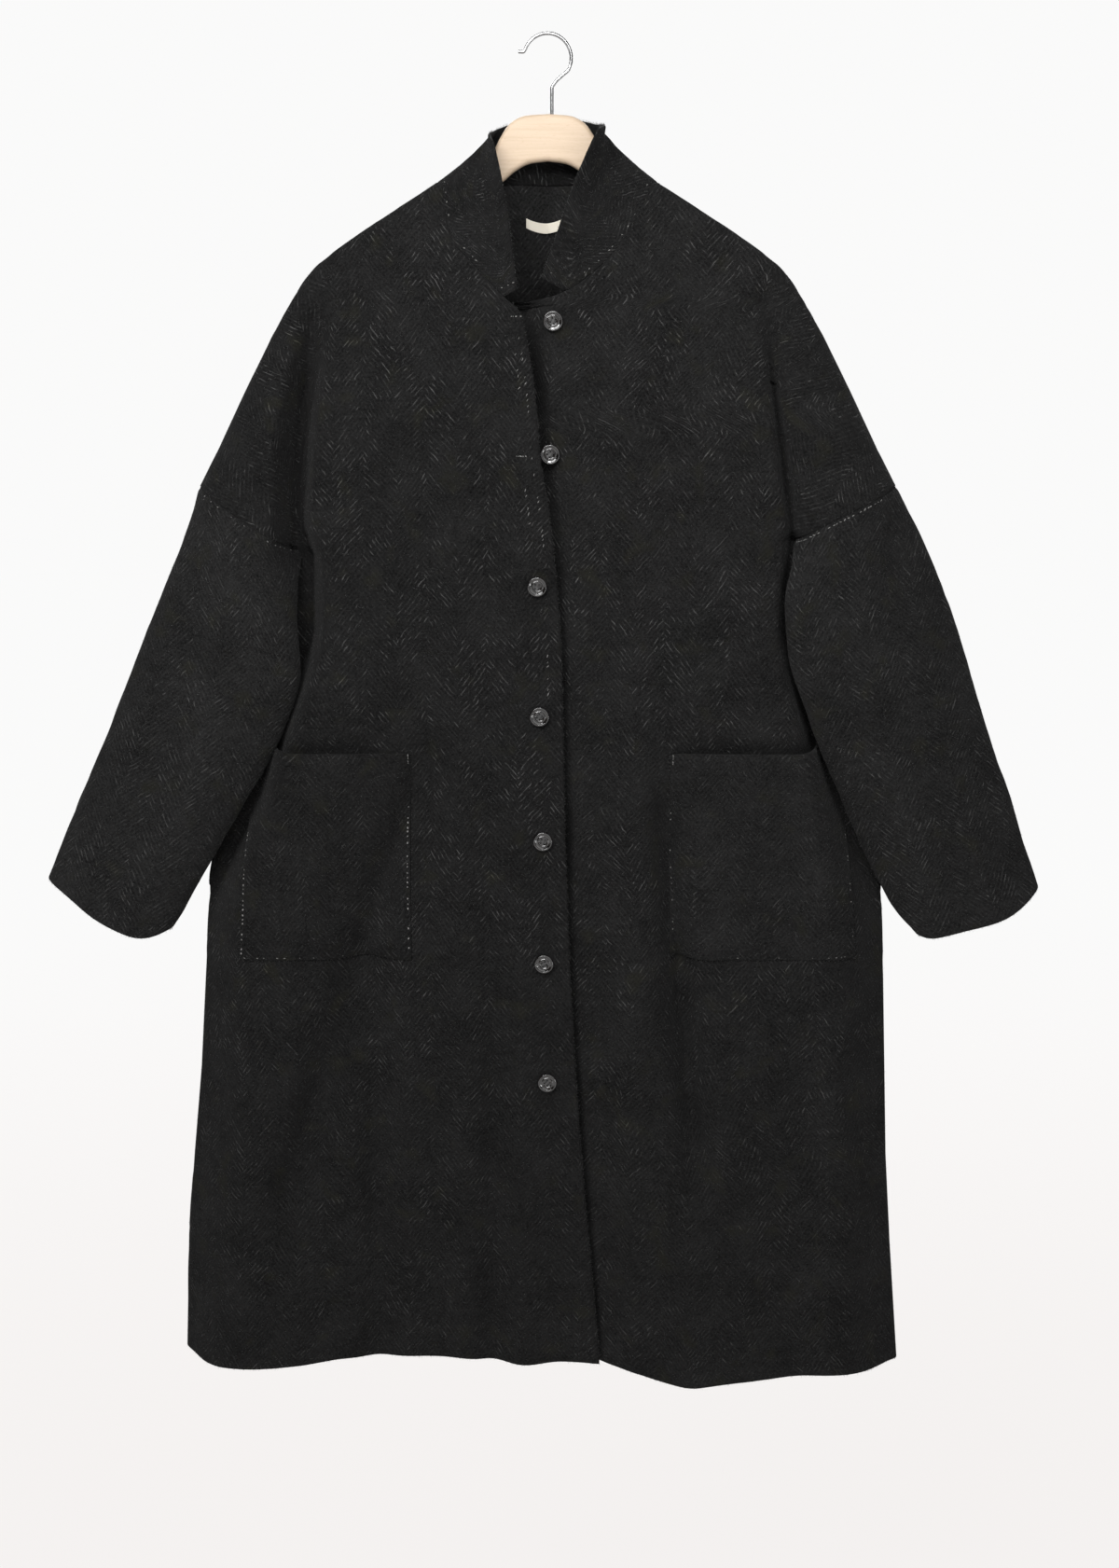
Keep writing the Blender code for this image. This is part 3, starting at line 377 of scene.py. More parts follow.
SEWING_DARK, SEWING_LIGHT = (0.006, 0.006, 0.006), (0.02, 0.02, 0.02)

# Patterns of the small parts: fineness per metre, stretch, spans, shares and height of the relief
HORN_CLOUD, HORN_VEIN, HORN_STRETCH = (160.0, 3.0, 0.6), 420.0, (1.0, 1.0, 3.0)
HORN_SHARES, HORN_SPAN, HORN_RELIEF = {"cloud": 0.7, "vein": 0.3}, (0.36, 0.66), 0.00006
THREAD_FIBRE, THREAD_RELIEF = 1800.0, 0.0001
TAPE_THREAD, TAPE_SOIL, TAPE_SOILED, TAPE_RELIEF = 0.00045, 90.0, 0.6, 0.00012
BEECH_STRETCH, BEECH_BEND, BEECH_BENT = (1.0, 3.0, 5.0), 6.0, 0.05
BEECH_RINGS, BEECH_ALONG, BEECH_SPAN = (70.0, 3.0, 0.55), (0.25, 1.0, 1.0), (0.3, 0.72)
FLECKS, FLECK_ALONG, FLECK_SPAN, FLECK_SHARE = 1500.0, (0.16, 1.0, 1.0), (0.62, 0.74), 0.45
RING_RELIEF, BEECH_RELIEF = 0.5, 0.00008
STEEL_DRAWN, STEEL_ALONG, STEEL_ROUGH = 2600.0, (1.0, 1.0, 0.2), (0.3, 0.7, 0.2, 0.32)

# Strength of the light strokes on each piece, and how much paler its ground is; the differences in ground
# between pieces of the one cloth are painted light and shade
Look = namedtuple("Look", "strokes lift")
LOOKS = {
    "front_right": Look(0.85, 1.0), "front_left": Look(0.85, 1.06), "back": Look(0.8, 1.4),
    "sleeve_right": Look(0.75, 1.26), "sleeve_left": Look(0.75, 1.17), "collar": Look(0.8, 0.94),
    "pocket_right": Look(0.45, 1.0), "pocket_left": Look(0.4, 1.14),
}

# Hand stitches: distance apart, share that shows, length, width and height of one, and its slant
Stitch = namedtuple("Stitch", "apart kept length width rise turn", defaults=((-0.7, 0.7),))
POCKET_STITCH = {"right": Stitch(4.9, 0.85, 2.1, 1.35, 0.9), "left": Stitch(5.6, 0.35, 1.6, 0.9, 0.7)}
POCKET_FOOT_STITCH = {"right": Stitch(4.4, 0.5, 2.2, 0.7, 0.6), "left": Stitch(5.6, 0.4, 1.7, 0.7, 0.6)}
POCKET_TACK = Stitch(2.2, 0.9, 1.9, 0.7, 0.6)
ARMHOLE_STITCH = {"right": Stitch(5.2, 0.45, 2.0, 0.8, 0.7), "left": Stitch(4.0, 0.72, 2.8, 0.85, 0.7)}
ARMHOLE_SEWN = {"right": (0.15, 0.95), "left": (0.3, 0.97)}
NECK_STITCH = Stitch(6.0, 0.4, 2.0, 0.7, 0.6)
EDGE_STITCH = Stitch(5.2, 0.6, 3.2, 0.6, 0.5, (0.3, 1.3))
EDGE_SEWN = (
    (-252.0, -345.0, 2), (-270.0, -330.0, 4), (-372.0, -462.0, 2), (-400.0, -440.0, 5), (-560.0, -610.0, 3),
)
HOLE_STITCH = Stitch(2.3, 0.85, 1.6, 1.0, 0.6)
BUTTONHOLES = ((-33.0, -24.0, -251.0), (-31.0, -20.0, -377.0))
POCKET_SEWN = ((0.0, 0.05), (0.27, 0.95), (0.36, 0.98), (0.4, 0.97))
STITCH_SIZES, STITCH_DRIFT, STITCH_FINE = (0.6, 1.15), 0.25, 2
HOLE_SAMPLES, SLOPE_STEP = 30, 0.5
ARMHOLE_ROW, NECK_ROW = 2, -3
ARM_SEED = {"right": 10, "left": 20}
EDGE_SEED, HOLE_SEED, NECK_SEED, HAIR_SEED = 40, 50, 60, 70
STITCH_DARK, STITCH_LIGHT = (0.05, 0.049, 0.047), (0.3, 0.295, 0.285)

# Loose wool hairs: number on the face, number along the open edges
Hairs = namedtuple("Hairs", "face edges along")
HAIRS = {
    "front_right": Hairs(14000, 2600, ("bottom", "near")),
    "front_left": Hairs(14000, 2600, ("bottom", "near")), "back": Hairs(9000, 1200, ("bottom",)),
    "sleeve_right": Hairs(7500, 900, ("bottom",)), "sleeve_left": Hairs(7500, 900, ("bottom",)),
    "collar": Hairs(1800, 1200, ("top", "near", "far")),
    "pocket_right": Hairs(2400, 500, ("bottom", "near", "far")),
    "pocket_left": Hairs(2400, 500, ("bottom", "near", "far")),
}
HAIR_LENGTH, HAIR_RADIUS = (1.0, 3.4), (0.07, 0.13)
HAIR_LIFT, HAIR_FALL = (0.1, 0.75), 0.25
HAIR_STRAY, HAIR_SEAT, HAIR_ASIDE = (2.0, 1.0, 0.8), 0.8, (0.31, 0.87, 0.38)
HAIR_FACES = np.array(((0, 2, 1), (0, 1, 3), (1, 2, 3), (2, 0, 3)))
HAIR_PLACES = np.array(((0.1, 0.1), (0.9, 0.1), (0.5, 0.4), (0.5, 0.9)))
HAIR_DARK, HAIR_LIGHT = (0.004, 0.004, 0.004), (0.034, 0.034, 0.033)

# Flat cut of a sheet in metres, with its area where it isn't a rectangle, and what it hangs on; no sheet is
# given one here
Cut = namedtuple("Cut", "width length area rests_on")

# Fine detail of the small parts
BAR_FINE, TIP_FINE, BAR_BEVEL, BAR_WELD = 24, 7, 6, 0.01
STEM_STEPS, CROOK_STEPS, HOOK_FINE, WIRE_SIDES = 5, 24, 150, 5
BUTTON_TURNS, BUTTON_WELD, SHARP_ANGLE = 56, 0.004, math.radians(45)
RIM_FINE, RIM_RISE = 9, 0.6
DISH_FINE, DISH_EDGE, DISH_BOWL, DISH_SLOPE = 24, 1.1, 0.35, (0.7, 0.12)
BUTTON_SIDE = ((0.0, 1.5), (0.4, 0.6), (1.4, 0.1), (BUTTON_RADIUS, 0.0))
HOLE_APART, HOLE_RADIUS, HOLE_SIDES = 3.6, 0.95, 20
BUTTON_SPIN = (0.5, 0.9, 0.1, 0.65, 0.3, 1.1, 0.75)
SEAT_ANGLES, SEAT_RINGS = 24, 4
STRAND_HEIGHTS, STRAND_APART, STRAND_RADIUS = (-0.1, 0.12, 0.3), 0.35, 0.24
STRAND_FOOT, STRAND_BEND, STRAND_TOP, STRAND_INSET = 0.8, 1.4, (0.8, 0.7), 0.7
STRAND_FINE, STRAND_SIDES = 18, 2
LABEL_COLUMNS, LABEL_ROWS = 61, 17
LABEL_CURL, LABEL_CURL_TOP = 1.6, 0.35

# Camera and stage, in metres
CAMERA_AT = (0.011, -2.060, -0.272)
CAMERA_TILT = math.radians(90 - 11.65)
CAMERA_LENS, CAMERA_SENSOR, CAMERA_FAR = 49.45, 36.0, 100.0
# The floor glows; near its middle the glow is darker, as painted shade
FLOOR_Z, FLOOR_RADIUS, FLOOR_SIDES, FLOOR_SHADE_SPAN = -1.95, 14.0, 96, (0.7, 5.0)
FLOOR_PAINTED_SHADE, SURROUNDINGS = (0.88, 0.855, 0.845), (0.956, 0.955, 0.953)
FLOOR_SURFACE = {
    "Base_Color": (0.03, 0.03, 0.03, 1), "Roughness": 0.9, "Specular_IOR_Level": 0.0,
    "Emission_Strength": 1.0,
}
Light = namedtuple("Light", "name at aim size watts")
LIGHTS = (
    Light("key", (-1.15, -2.4, 1.5), (0, 0, -0.5), 1.7, 88),
    Light("fill", (0.9, -3.1, 0.3), (0.1, 0, -0.6), 2.4, 27),
    Light("neck", (0.04, -1.0, 0.28), (0, 0.03, -0.2), 0.25, 5.5),
    Light("spark_high", (-1.5, -2.3, 0.9), (0, 0, -0.6), 0.22, 6),
    Light("spark_low", (1.5, -2.4, -1.3), (0, 0, -0.6), 0.22, 4),
    Light("top", (0.0, -0.3, 2.2), (0, 0, -0.5), 2.2, 14),
    Light("back_right", (-0.9, 3.0, 0.9), (0, 0, -0.7), 2.0, 70),
    Light("back_left", (0.9, 3.0, 0.6), (0, 0, -0.7), 2.0, 60),
)


def through(position, value, at):
    """Smooth curve through rows of values, with no overshoot between the rows."""
    position, value = np.asarray(position, float), np.asarray(value, float)
    step = np.diff(position).reshape((-1,) + (1,) * (value.ndim - 1))
    rise = np.diff(value, axis=0) / step
    slope = np.zeros_like(value)
    slope[0], slope[-1] = rise[0], rise[-1]
    product = rise[:-1] * rise[1:]
    total = rise[:-1] + rise[1:]
    slope[1:-1] = np.where(product > 0, 2 * product / np.where(product > 0, total, 1), 0)
    at = np.clip(at, position[0], position[-1])
    i = np.clip(np.searchsorted(position, at) - 1, 0, len(step) - 1)
    f = (at - position[i]) / np.diff(position)[i]
    f = f.reshape(f.shape + (1,) * (value.ndim - 1))
    start = value[i] + f * step[i].reshape(f.shape) * slope[i] * (1 - f) ** 2
    end = f * f * (1 - f) * step[i].reshape(f.shape) * slope[i + 1]
    return start + f * f * (3 - 2 * f) * (value[i + 1] - value[i]) - end


def curve(table, at):
    """Smooth curve through a table's rows of position and value."""
    position, value = np.array(sorted(table), float).T
    return through(position, value, np.asarray(at, float))


def ease(f):
    """0 to 1 with a soft start and a soft end."""
    f = np.clip(f, 0, 1)
    return f * f * (3 - 2 * f)


def bow(f):
    """Quarter of an ellipse: 0 at the edge, 1 on the flat."""
    return np.sqrt(1 - (1 - np.clip(f, 0, 1)) ** 2)


def arch(f):
    """0 at both ends and 1 in the middle."""
    return 4 * f * (1 - f)


def lay(x, y, z):
    """Points from their coordinates."""
    return np.stack(np.broadcast_arrays(x, y, z), axis=-1)


def distance(h, z, table):
    """Distance of points from the line through a table's rows of z and h."""
    nearest = np.full(np.shape(h), np.inf)
    for (z0, h0), (z1, h1) in zip(table[:-1], table[1:]):
        along_h, along_z = h1 - h0, z1 - z0
        share = ((h - h0) * along_h + (z - z0) * along_z) / (along_h**2 + along_z**2)
        share = np.clip(share, 0, 1)
        nearest = np.minimum(nearest, np.hypot(h - h0 - share * along_h, z - z0 - share * along_z))
    return nearest


LATTICE = np.random.default_rng(LATTICE_SEED).uniform(-1, 1, (LATTICE_SIZE, LATTICE_SIZE))


def noise(u, v):
    """Smooth unevenness from -1 to 1 that repeats with the lattice."""
    i, j = np.floor(u).astype(int), np.floor(v).astype(int)
    f, g = ease(u - i), ease(v - j)
    here, there = i % LATTICE_SIZE, (i + 1) % LATTICE_SIZE
    near, far = (
        LATTICE[here, k % LATTICE_SIZE] * (1 - f) + LATTICE[there, k % LATTICE_SIZE] * f for k in (j, j + 1)
    )
    return near * (1 - g) + far * g


def ripple(u, v, seed):
    """Small swells of thick wool, in millimetres."""
    total = 0
    for k, (wave, height) in enumerate(RIPPLES):
        shift_u, shift_v = (by_seed * seed + by_wave * k for by_seed, by_wave in RIPPLE_SHIFTS)
        total = total + height * noise(u / wave + shift_u, v / wave + shift_v)
    return total


def outer_edge(side, z, front):
    """Half-width of the outer boundary of a front or the back, from shoulder to hem."""
    corners = (ARM_TOP, CREASE_FOOT[side], UNDERARM) if front else (ARM_TOP, UNDERARM)
    corner_h, corner_z = np.array(corners).T
    edge = np.where(z >= SHOULDER[-1][0], curve(SHOULDER, z), curve(DROP_EDGE, z))
    edge = np.where(z < ARM_TOP_Z, np.interp(-z, -corner_z, corner_h), edge)
    return np.where(z < UNDERARM_Z, curve(SIDE_SEAM[side], z), edge)


def fold_shift(folds, x, z):
    """Movement away from the viewer made by the soft folds."""
    shift = np.zeros(np.shape(x))
    for x_top, z_top, x_end, z_end, depth, width in folds:
        share = (z_top - z) / (z_top - z_end)
        middle = x_top + (x_end - x_top) * share
        window = ease(share * FOLD_START) * ease((1 - share) * FOLD_END)
        shift = shift + depth * window * np.exp(-(((x - middle) / width) ** 2))
    return shift


def ridge_depth(h, z, full):
    """Depth below the shoulder seam: rounded over the hanger, then falling outward to the full depth."""
    away = distance(np.abs(h), z, SHOULDER)
    return RIDGE_ROUND * bow(away / RIDGE_ROUND) + (full - RIDGE_ROUND) * ease(away / RIDGE_FALL)


def unevenness(folds, x, z, seam, edge, seed):
    """Folds that end at the side seam, and ripples that end at the shoulder too."""
    inside = ease(edge / BACK_ROUND) * ease(distance(np.abs(x), z, SHOULDER) / BACK_ROUND)
    return ease(seam / BACK_ROUND) * (fold_shift(folds, x, z) + ripple(x, z, seed) * inside)


def beyond_crease(side, h, z):
    """Where a front is dropped shoulder, outside the crease."""
    return (h > curve(CREASE[side], z)) & (z > CREASE_FOOT[side][1])


def front_surface(side, h, z):
    """y of a front's outer face."""
    away = distance(h, z, CREASE[side] + ((UNDERARM_Z, UNDERARM_H),) + SIDE_SEAM[side][1:])
    body = (away - curve(BEHIND_SLEEVE[side], z)) / curve(BODY_SWELL[side], z)
    drop = (away - DROP_FLAT[side]) / DROP_SWELL[side]
    rise = np.clip(np.where(beyond_crease(side, h, z), drop, body), 0, 1)
    swell = 1 - curve(CREASE_SHARE[side], z) * (1 - np.sin(rise * math.pi / 2))
    seam, edge = distance(h, z, SIDE_SEAM[side]), distance(h, z, DROP_EDGE)
    depth = ridge_depth(h, z, curve(FRONT_DEPTH, z)) * swell * bow(edge / curve(DROP_ROUND, z))
    roll = SIDE_ROLL * bow(seam / SIDE_ROLL) * (z <= UNDERARM_Z)
    depth = np.cbrt(depth**3 + roll**3)
    lap = LAP_STEP * ease((LAP_START - h) / (LAP_START - LAP_FULL)) * (side == "right")
    soft = unevenness(FRONT_FOLDS[side], SIGN[side] * h, z, seam, edge, FRONT_SEED)
    return curve(SEAM_PLANE, z) - depth - lap + soft


def back_surface(x, z):
    """y of the back's outer face."""
    h = np.abs(x)
    edge = distance(h, z, DROP_EDGE)
    seam = np.where(x < 0, distance(h, z, SIDE_SEAM["right"]), distance(h, z, SIDE_SEAM["left"]))
    by_arm = ease((h - BACK_ARM_START) / BACK_ARM_WIDTH) * ease((z - SKIRT_Z) / (UNDERARM_Z - SKIRT_Z))
    depth = ridge_depth(h, z, curve(BACK_DEPTH, z)) * bow(edge / curve(DROP_ROUND, z))
    depth = depth * (1 - BACK_ARM_FLAT * by_arm) * bow(seam / BACK_ROUND)
    return curve(SEAM_PLANE, z) + depth - unevenness(BACK_FOLDS, x, z, seam, edge, BACK_SEED)


def levels(stops, rows):
    """Heights between stops, as a column, with the given number of rows in each stretch."""
    runs = [np.linspace(a, b, n, endpoint=False) for a, b, n in zip(stops[:-1], stops[1:], rows)]
    return np.concatenate(runs + [stops[-1:]])[:, None]


def hang(x, z):
    """Moves level rows of the skirt down to the uneven hem."""
    share = np.clip((SKIRT_Z - z) / (SKIRT_Z - HEM_Z), 0, 1)
    return z + share * (curve(FRONT_HEM, x) - HEM_Z + HEM_RISE * noise(x / HEM_WAVE, 0 * x))


def inward(grid, towards, wrap=False):
    """Unit directions at each point of a grid, all to the side where most of towards lies."""
    if wrap:
        across = np.roll(grid, -1, axis=1) - np.roll(grid, 1, axis=1)
    else:
        across = np.gradient(grid, axis=1)
    normal = unit(np.cross(np.gradient(grid, axis=0), across))
    return normal if np.sum(normal * (towards - grid)) > 0 else -normal


def middle_line(grid):
    """Points inside the coat, level with its middle, that the walls face."""
    return grid * (0.5, 0, 0) + (0, 0, MIDDLE_Z)


def in_seam_plane(directions, grid, rows, column, side):
    """Turns the directions on a seam's rows into the plane of the seam, square to its line."""
    along = np.gradient(grid[:, column], axis=0)
    directions[rows, column] = unit(SIGN[side] * lay(along[:, 2], 0, -along[:, 0]))[rows]


def in_armhole_plane(directions, end, sign=1.0):
    """Turns directions on the armhole's edge, from its top to end, into the upright plane of that edge."""
    across = unit(np.array((end[1] - ARM_TOP_Z, 0, sign * (ARM_TOP_H - end[0]))))
    return unit(directions - np.sum(directions * across, axis=-1, keepdims=True) * across)


def unit(v):
    return v / np.maximum(np.linalg.norm(v, axis=-1, keepdims=True), TINY)


def soften(grid, times, wrap=False):
    """Evens out a grid of values with its neighbours; open edges keep theirs."""
    for _ in range(times):
        if wrap:
            grid = (np.roll(grid, 1, axis=1) + 2 * grid + np.roll(grid, -1, axis=1)) / 4
        else:
            grid[:, 1:-1] = (grid[:, :-2] + 2 * grid[:, 1:-1] + grid[:, 2:]) / 4
    return grid


def run_along(points, axis=0):
    """Distance travelled along a line of points, or along the columns or rows of a grid."""
    steps = np.linalg.norm(np.diff(points, axis=axis), axis=-1)
    return np.insert(np.cumsum(steps, axis=axis), 0, 0, axis=axis)


def turned(u, v, degrees):
    a = np.radians(degrees)
    return u * np.cos(a) + v * np.sin(a), v * np.cos(a) - u * np.sin(a)


def quads(grid):
    corners = (grid[:-1, :-1], grid[:-1, 1:], grid[1:, 1:], grid[1:, :-1])
    return np.stack(corners, axis=2).reshape((-1, 4) + grid.shape[2:])


def closed(grid):
    """Grid with its first column again at the end."""
    return np.concatenate((grid, grid[:, :1]), axis=1)


def edge_loops(rows, columns, wrap):
    """Rows and columns of the points round the open edges of a grid, each loop closed."""
    if wrap:
        j = np.arange(columns + 1)
        return [(0 * j, j), (0 * j + rows - 1, j[::-1])]
    top = [(0, j) for j in range(columns - 1)]
    far = [(i, columns - 1) for i in range(rows - 1)]
    bottom = [(rows - 1, j) for j in range(columns - 1, 0, -1)]
    near = [(i, 0) for i in range(rows - 1, -1, -1)]
    return [tuple(np.array(top + far + bottom + near).T)]


Piece = namedtuple("Piece", "object outer out")


def cloth_piece(node, outer, inner, weave, finish, bulge=1.0, wrap=False):
    """Closed shell between two grids with rounded rims; weave gives the cloth's own coordinates."""
    rows, columns = outer.shape[:2]
    bulge = np.broadcast_to(bulge, (rows, columns))
    ids = np.arange(rows * columns).reshape(rows, columns)
    ids = closed(ids) if wrap else ids
    down, across = np.indices(ids.shape)
    bake = np.stack((across / (ids.shape[1] - 1), 1 - down / (rows - 1)), axis=2)
    outside = BAKE_EDGE + bake * (0.5 - 2 * BAKE_EDGE, 1 - 2 * BAKE_EDGE)
    points = [outer.reshape(-1, 3), inner.reshape(-1, 3)]
    faces = [quads(ids), quads(ids + rows * columns)[:, ::-1]]
    threads = [quads(weave), quads(weave)[:, ::-1]]
    places = [quads(outside), quads(outside + (0.5, 0))[:, ::-1]]
    count = 2 * rows * columns
    angle = np.linspace(0, math.pi, RIM_STEPS + 1)[:, None, None]
    share = angle / math.pi
    for i, j in edge_loops(rows, columns, wrap):
        k = j % columns
        inside_i, inside_j = np.clip(i, 1, rows - 2), j if wrap else np.clip(j, 1, columns - 2)
        away = unit(outer[i, k] - outer[inside_i, inside_j % columns])
        middle, half = (outer[i, k] + inner[i, k]) / 2, (outer[i, k] - inner[i, k]) / 2
        reach = away * (bulge[i, k] * np.linalg.norm(half, axis=1))[:, None]
        rail = middle + half * np.cos(angle) + reach * np.sin(angle)
        points.append(rail[1:-1, :-1].reshape(-1, 3))
        fresh = count + np.arange((RIM_STEPS - 1) * (len(i) - 1)).reshape(RIM_STEPS - 1, -1)
        count += fresh.size
        rim = np.concatenate((ids[i, j][None], closed(fresh), ids[i, j][None] + rows * columns))
        thread_out = unit(weave[i, j] - weave[inside_i, inside_j]) * CLOTH * math.pi / 2
        place_out = np.stack((j - inside_j, inside_i - i), axis=1) * BAKE_RIM
        faces.append(quads(rim)[:, ::-1])
        threads.append(quads(weave[i, j] + share * thread_out)[:, ::-1])
        places.append(quads(outside[i, j] + share * place_out)[:, ::-1])
    points, faces = np.concatenate(points) * MM, np.concatenate(faces)
    threads, places = np.concatenate(threads) * MM, np.concatenate(places)
    a, b, c, d = (points[faces[:, n]] for n in range(4))
    if np.sum(np.cross(b - a, c - a) * a + np.cross(c - a, d - a) * a) < 0:
        faces, threads, places = faces[:, ::-1], threads[:, ::-1], places[:, ::-1]
    mesh = bpy.data.meshes.new(f"coat_{node}")
    mesh.from_pydata(points, [], faces.tolist())
    for layer, values in (("cloth", threads), ("OFBake", places)):
        mesh.uv_layers.new(name=layer).data.foreach_set("uv", values.ravel().astype(np.float32))
    made = add_piece(f"coat_{node}", mesh, finish, node)
    return Piece(made, outer, unit(outer - inner))


def spread(count):
    """Shares from 0 to 1, closer together towards 1."""
    return np.sin(np.linspace(0, math.pi / 2, count + 1))


def swing(count):
    """Shares from 0 to 1, closer together towards both ends."""
    return (1 - np.cos(np.linspace(0, math.pi, count + 1))) / 2


def mouth_dent(side, h, z):
    """Movement away from the viewer behind a pocket's mouth."""
    dent = MOUTH_DENT[side]
    across = ease((1 - np.abs(h - dent.middle_h) / dent.half_h) * DENT_STEEP)
    over = ease((dent.z_top - z) / (dent.z_top - dent.z_full))
    return dent.depth * across * over * ease((z - dent.z_end) / (dent.z_held - dent.z_end))


def front_grid(side):
    """Outer face of a front, from the front edge out to the side, from the neck down to the hem."""
    foot_z = CREASE_FOOT[side][1]
    z = levels((NECK_Z, CORNER_Z, ARM_TOP_Z, foot_z, UNDERARM_Z, SKIRT_Z, HEM_Z), FRONT_ROWS)
    inner_h, outer_h = curve(FRONT_EDGE[side], z), outer_edge(side, z, True)
    limit_h = inner_h + (outer_h - inner_h) * curve(PIN_LIMIT, z)
    pin_h = np.where(z < foot_z, limit_h, np.minimum(curve(CREASE[side], z), limit_h))
    body_h = inner_h + (pin_h - inner_h) * np.linspace(0, 1, BODY_COLUMNS + 1)
    drop_h = pin_h + (outer_h - pin_h) * spread(DROP_COLUMNS)[1:]
    h = np.concatenate((body_h, drop_h), axis=1)
    x = SIGN[side] * h
    y = front_surface(side, h, z) + mouth_dent(side, h, z)
    on_seam = (z[:, 0] >= ARM_TOP_Z) | (z[:, 0] <= UNDERARM_Z)
    y[on_seam, -1] = curve(SEAM_PLANE, z[on_seam, 0]) - SEAM / 2
    return lay(x, y, hang(x, z + 0 * x)), on_seam, h, z


def front_weave(side, grid, h, z):
    """Cloth coordinates of a front; beyond the crease the cloth is turned by the hidden fold."""
    flat_h = h[:, :1] + run_along(grid * (1, 1, 0), 1)
    apex_z, apex_h = CREASE[side][0]
    out_h, down = flat_h - apex_h, apex_z - z
    angle = np.degrees(np.arctan2(out_h, down))
    turn = DROP_TURN[side] * ease((DROP_TURN_END - angle) / DROP_TURN_SOFT)
    beyond, reach = beyond_crease(side, h, z), np.hypot(out_h, down)
    new = np.radians(angle + turn)
    u = np.where(beyond, apex_h + reach * np.sin(new), flat_h)
    v = np.where(beyond, apex_z - reach * np.cos(new), z)
    return np.stack((SIGN[side] * u, v), axis=2)


def dipped(grid, into, run):
    """Draws the outer face in along a seam."""
    return grid + into * (SEAM_DIP * (1 - ease(run / SEAM_ROUND)))[:, :, None]


def make_front(side, finish):
    grid, on_seam, h, z = front_grid(side)
    into = unit(soften(inward(grid, middle_line(grid)), PANEL_SOFTEN))
    into[:, 0, 2] = np.minimum(into[:, 0, 2], 0)
    in_seam_plane(into, grid, on_seam, -1, side)
    armhole = (z[:, 0] < ARM_TOP_Z) & (z[:, 0] > CREASE_FOOT[side][1])
    into[armhole, -1] = in_armhole_plane(into[armhole, -1], CREASE_FOOT[side], SIGN[side])
    outer = dipped(grid, into, run_along(grid[:, ::-1], 1)[:, ::-1])
    bulge = np.ones(h.shape)
    bulge[:, -1] = bulge[0] = SEAM_BULGE
    bulge[z[:, 0] > COLLAR_SEAM_END_Z[side], 0] = SEAM_BULGE
    weave = front_weave(side, grid, h, z)
    return cloth_piece(f"front_{side}", outer, grid + CLOTH * into, weave, finish, bulge)


def make_back(finish):
    z = levels((NECK_Z, CORNER_Z, ARM_TOP_Z, UNDERARM_Z, SKIRT_Z, HEM_Z), BACK_ROWS)
    half = spread(BACK_COLUMNS // 2)
    share = np.concatenate((-half[:0:-1], half))
    outer_h = np.where(share < 0, outer_edge("right", z, False), outer_edge("left", z, False))
    x = share * outer_h
    y = back_surface(x, z)
    on_seam = (z[:, 0] >= ARM_TOP_Z) | (z[:, 0] <= UNDERARM_Z)
    y[np.ix_(on_seam, (0, -1))] = curve(SEAM_PLANE, z[on_seam]) + SEAM / 2
    drop = hang(x, z + 0 * x) - z
    grid = lay(x, y, z + drop * (1 - ease((outer_h - np.abs(x)) / SIDE_HANG)))
    into = unit(soften(inward(grid, middle_line(grid)), PANEL_SOFTEN))
    for side, column in (("right", 0), ("left", -1)):
        in_seam_plane(into, grid, on_seam, column, side)
        into[~on_seam, column] = in_armhole_plane(into[~on_seam, column], UNDERARM, SIGN[side])
    run = run_along(grid, 1)
    weave = np.stack((run - run[:, [BACK_COLUMNS // 2]], z + 0 * x), axis=2)
    bulge = np.ones(x.shape)
    bulge[:, 0] = bulge[:, -1] = bulge[0] = SEAM_BULGE
    outer = dipped(grid, into, np.minimum(run, run[:, -1:] - run))
    return cloth_piece("back", outer, grid + CLOTH * into, weave, finish, bulge)


def squared(share):
    """Swell of half a flattened tube across its width."""
    return (1 - np.abs(2 * share - 1) ** SLEEVE_SQUARENESS) ** (1 / SLEEVE_SQUARENESS)


def armhole_ring(side):
    """First ring of a sleeve, along the armhole edges of front and back."""
    foot_z = CREASE_FOOT[side][1]
    down = ARM_TOP_Z + (foot_z - ARM_TOP_Z) * swing(RING_FRONT)
    front_z = np.concatenate((down, np.linspace(foot_z, UNDERARM_Z, RING_STRIP + 1)[1:]))
    front_h = outer_edge(side, front_z, True)
    front_y = front_surface(side, front_h, front_z)
    front_y[RING_FRONT:] -= SLEEVE_SEAM_FORWARD
    back_z = UNDERARM_Z + (ARM_TOP_Z - UNDERARM_Z) * swing(RING_BACK)[1:-1]
    back_h = outer_edge(side, back_z, False)
    back = lay(back_h, back_surface(SIGN[side] * back_h, back_z), back_z)
    return np.concatenate((lay(front_h, front_y, front_z), back)) + (SLEEVE_SEAM_OUT, 0, -SLEEVE_SEAM_DOWN)


def sleeve_ring(row):
    """Closed ring: over the front from outer to inner edge, back along the fold, then up the back."""
    outer, inner, under = np.array((row.outer, row.inner, row.under), float)
    down, up = swing(RING_FRONT)[:, None], swing(RING_BACK)[1:-1, None]
    front = outer + (inner - outer) * down - (0, row.front, 0) * squared(down)
    strip = inner + (under - inner) * np.linspace(0, 1, RING_STRIP + 1)[1:, None]
    back = under + (outer - under) * up + (0, row.back, 0) * squared(up)
    return np.concatenate((front, strip, back))


def cuff_shift(side):
    """Movement of a sleeve's last ring along the sleeve."""
    share = np.concatenate((swing(RING_FRONT), np.ones(RING_STRIP), 1 - swing(RING_BACK)[1:-1]))
    drop = curve(CUFF_DROP[side], share)
    return lay(drop * SLEEVE_AXIS[0], 0, drop * SLEEVE_AXIS[1])


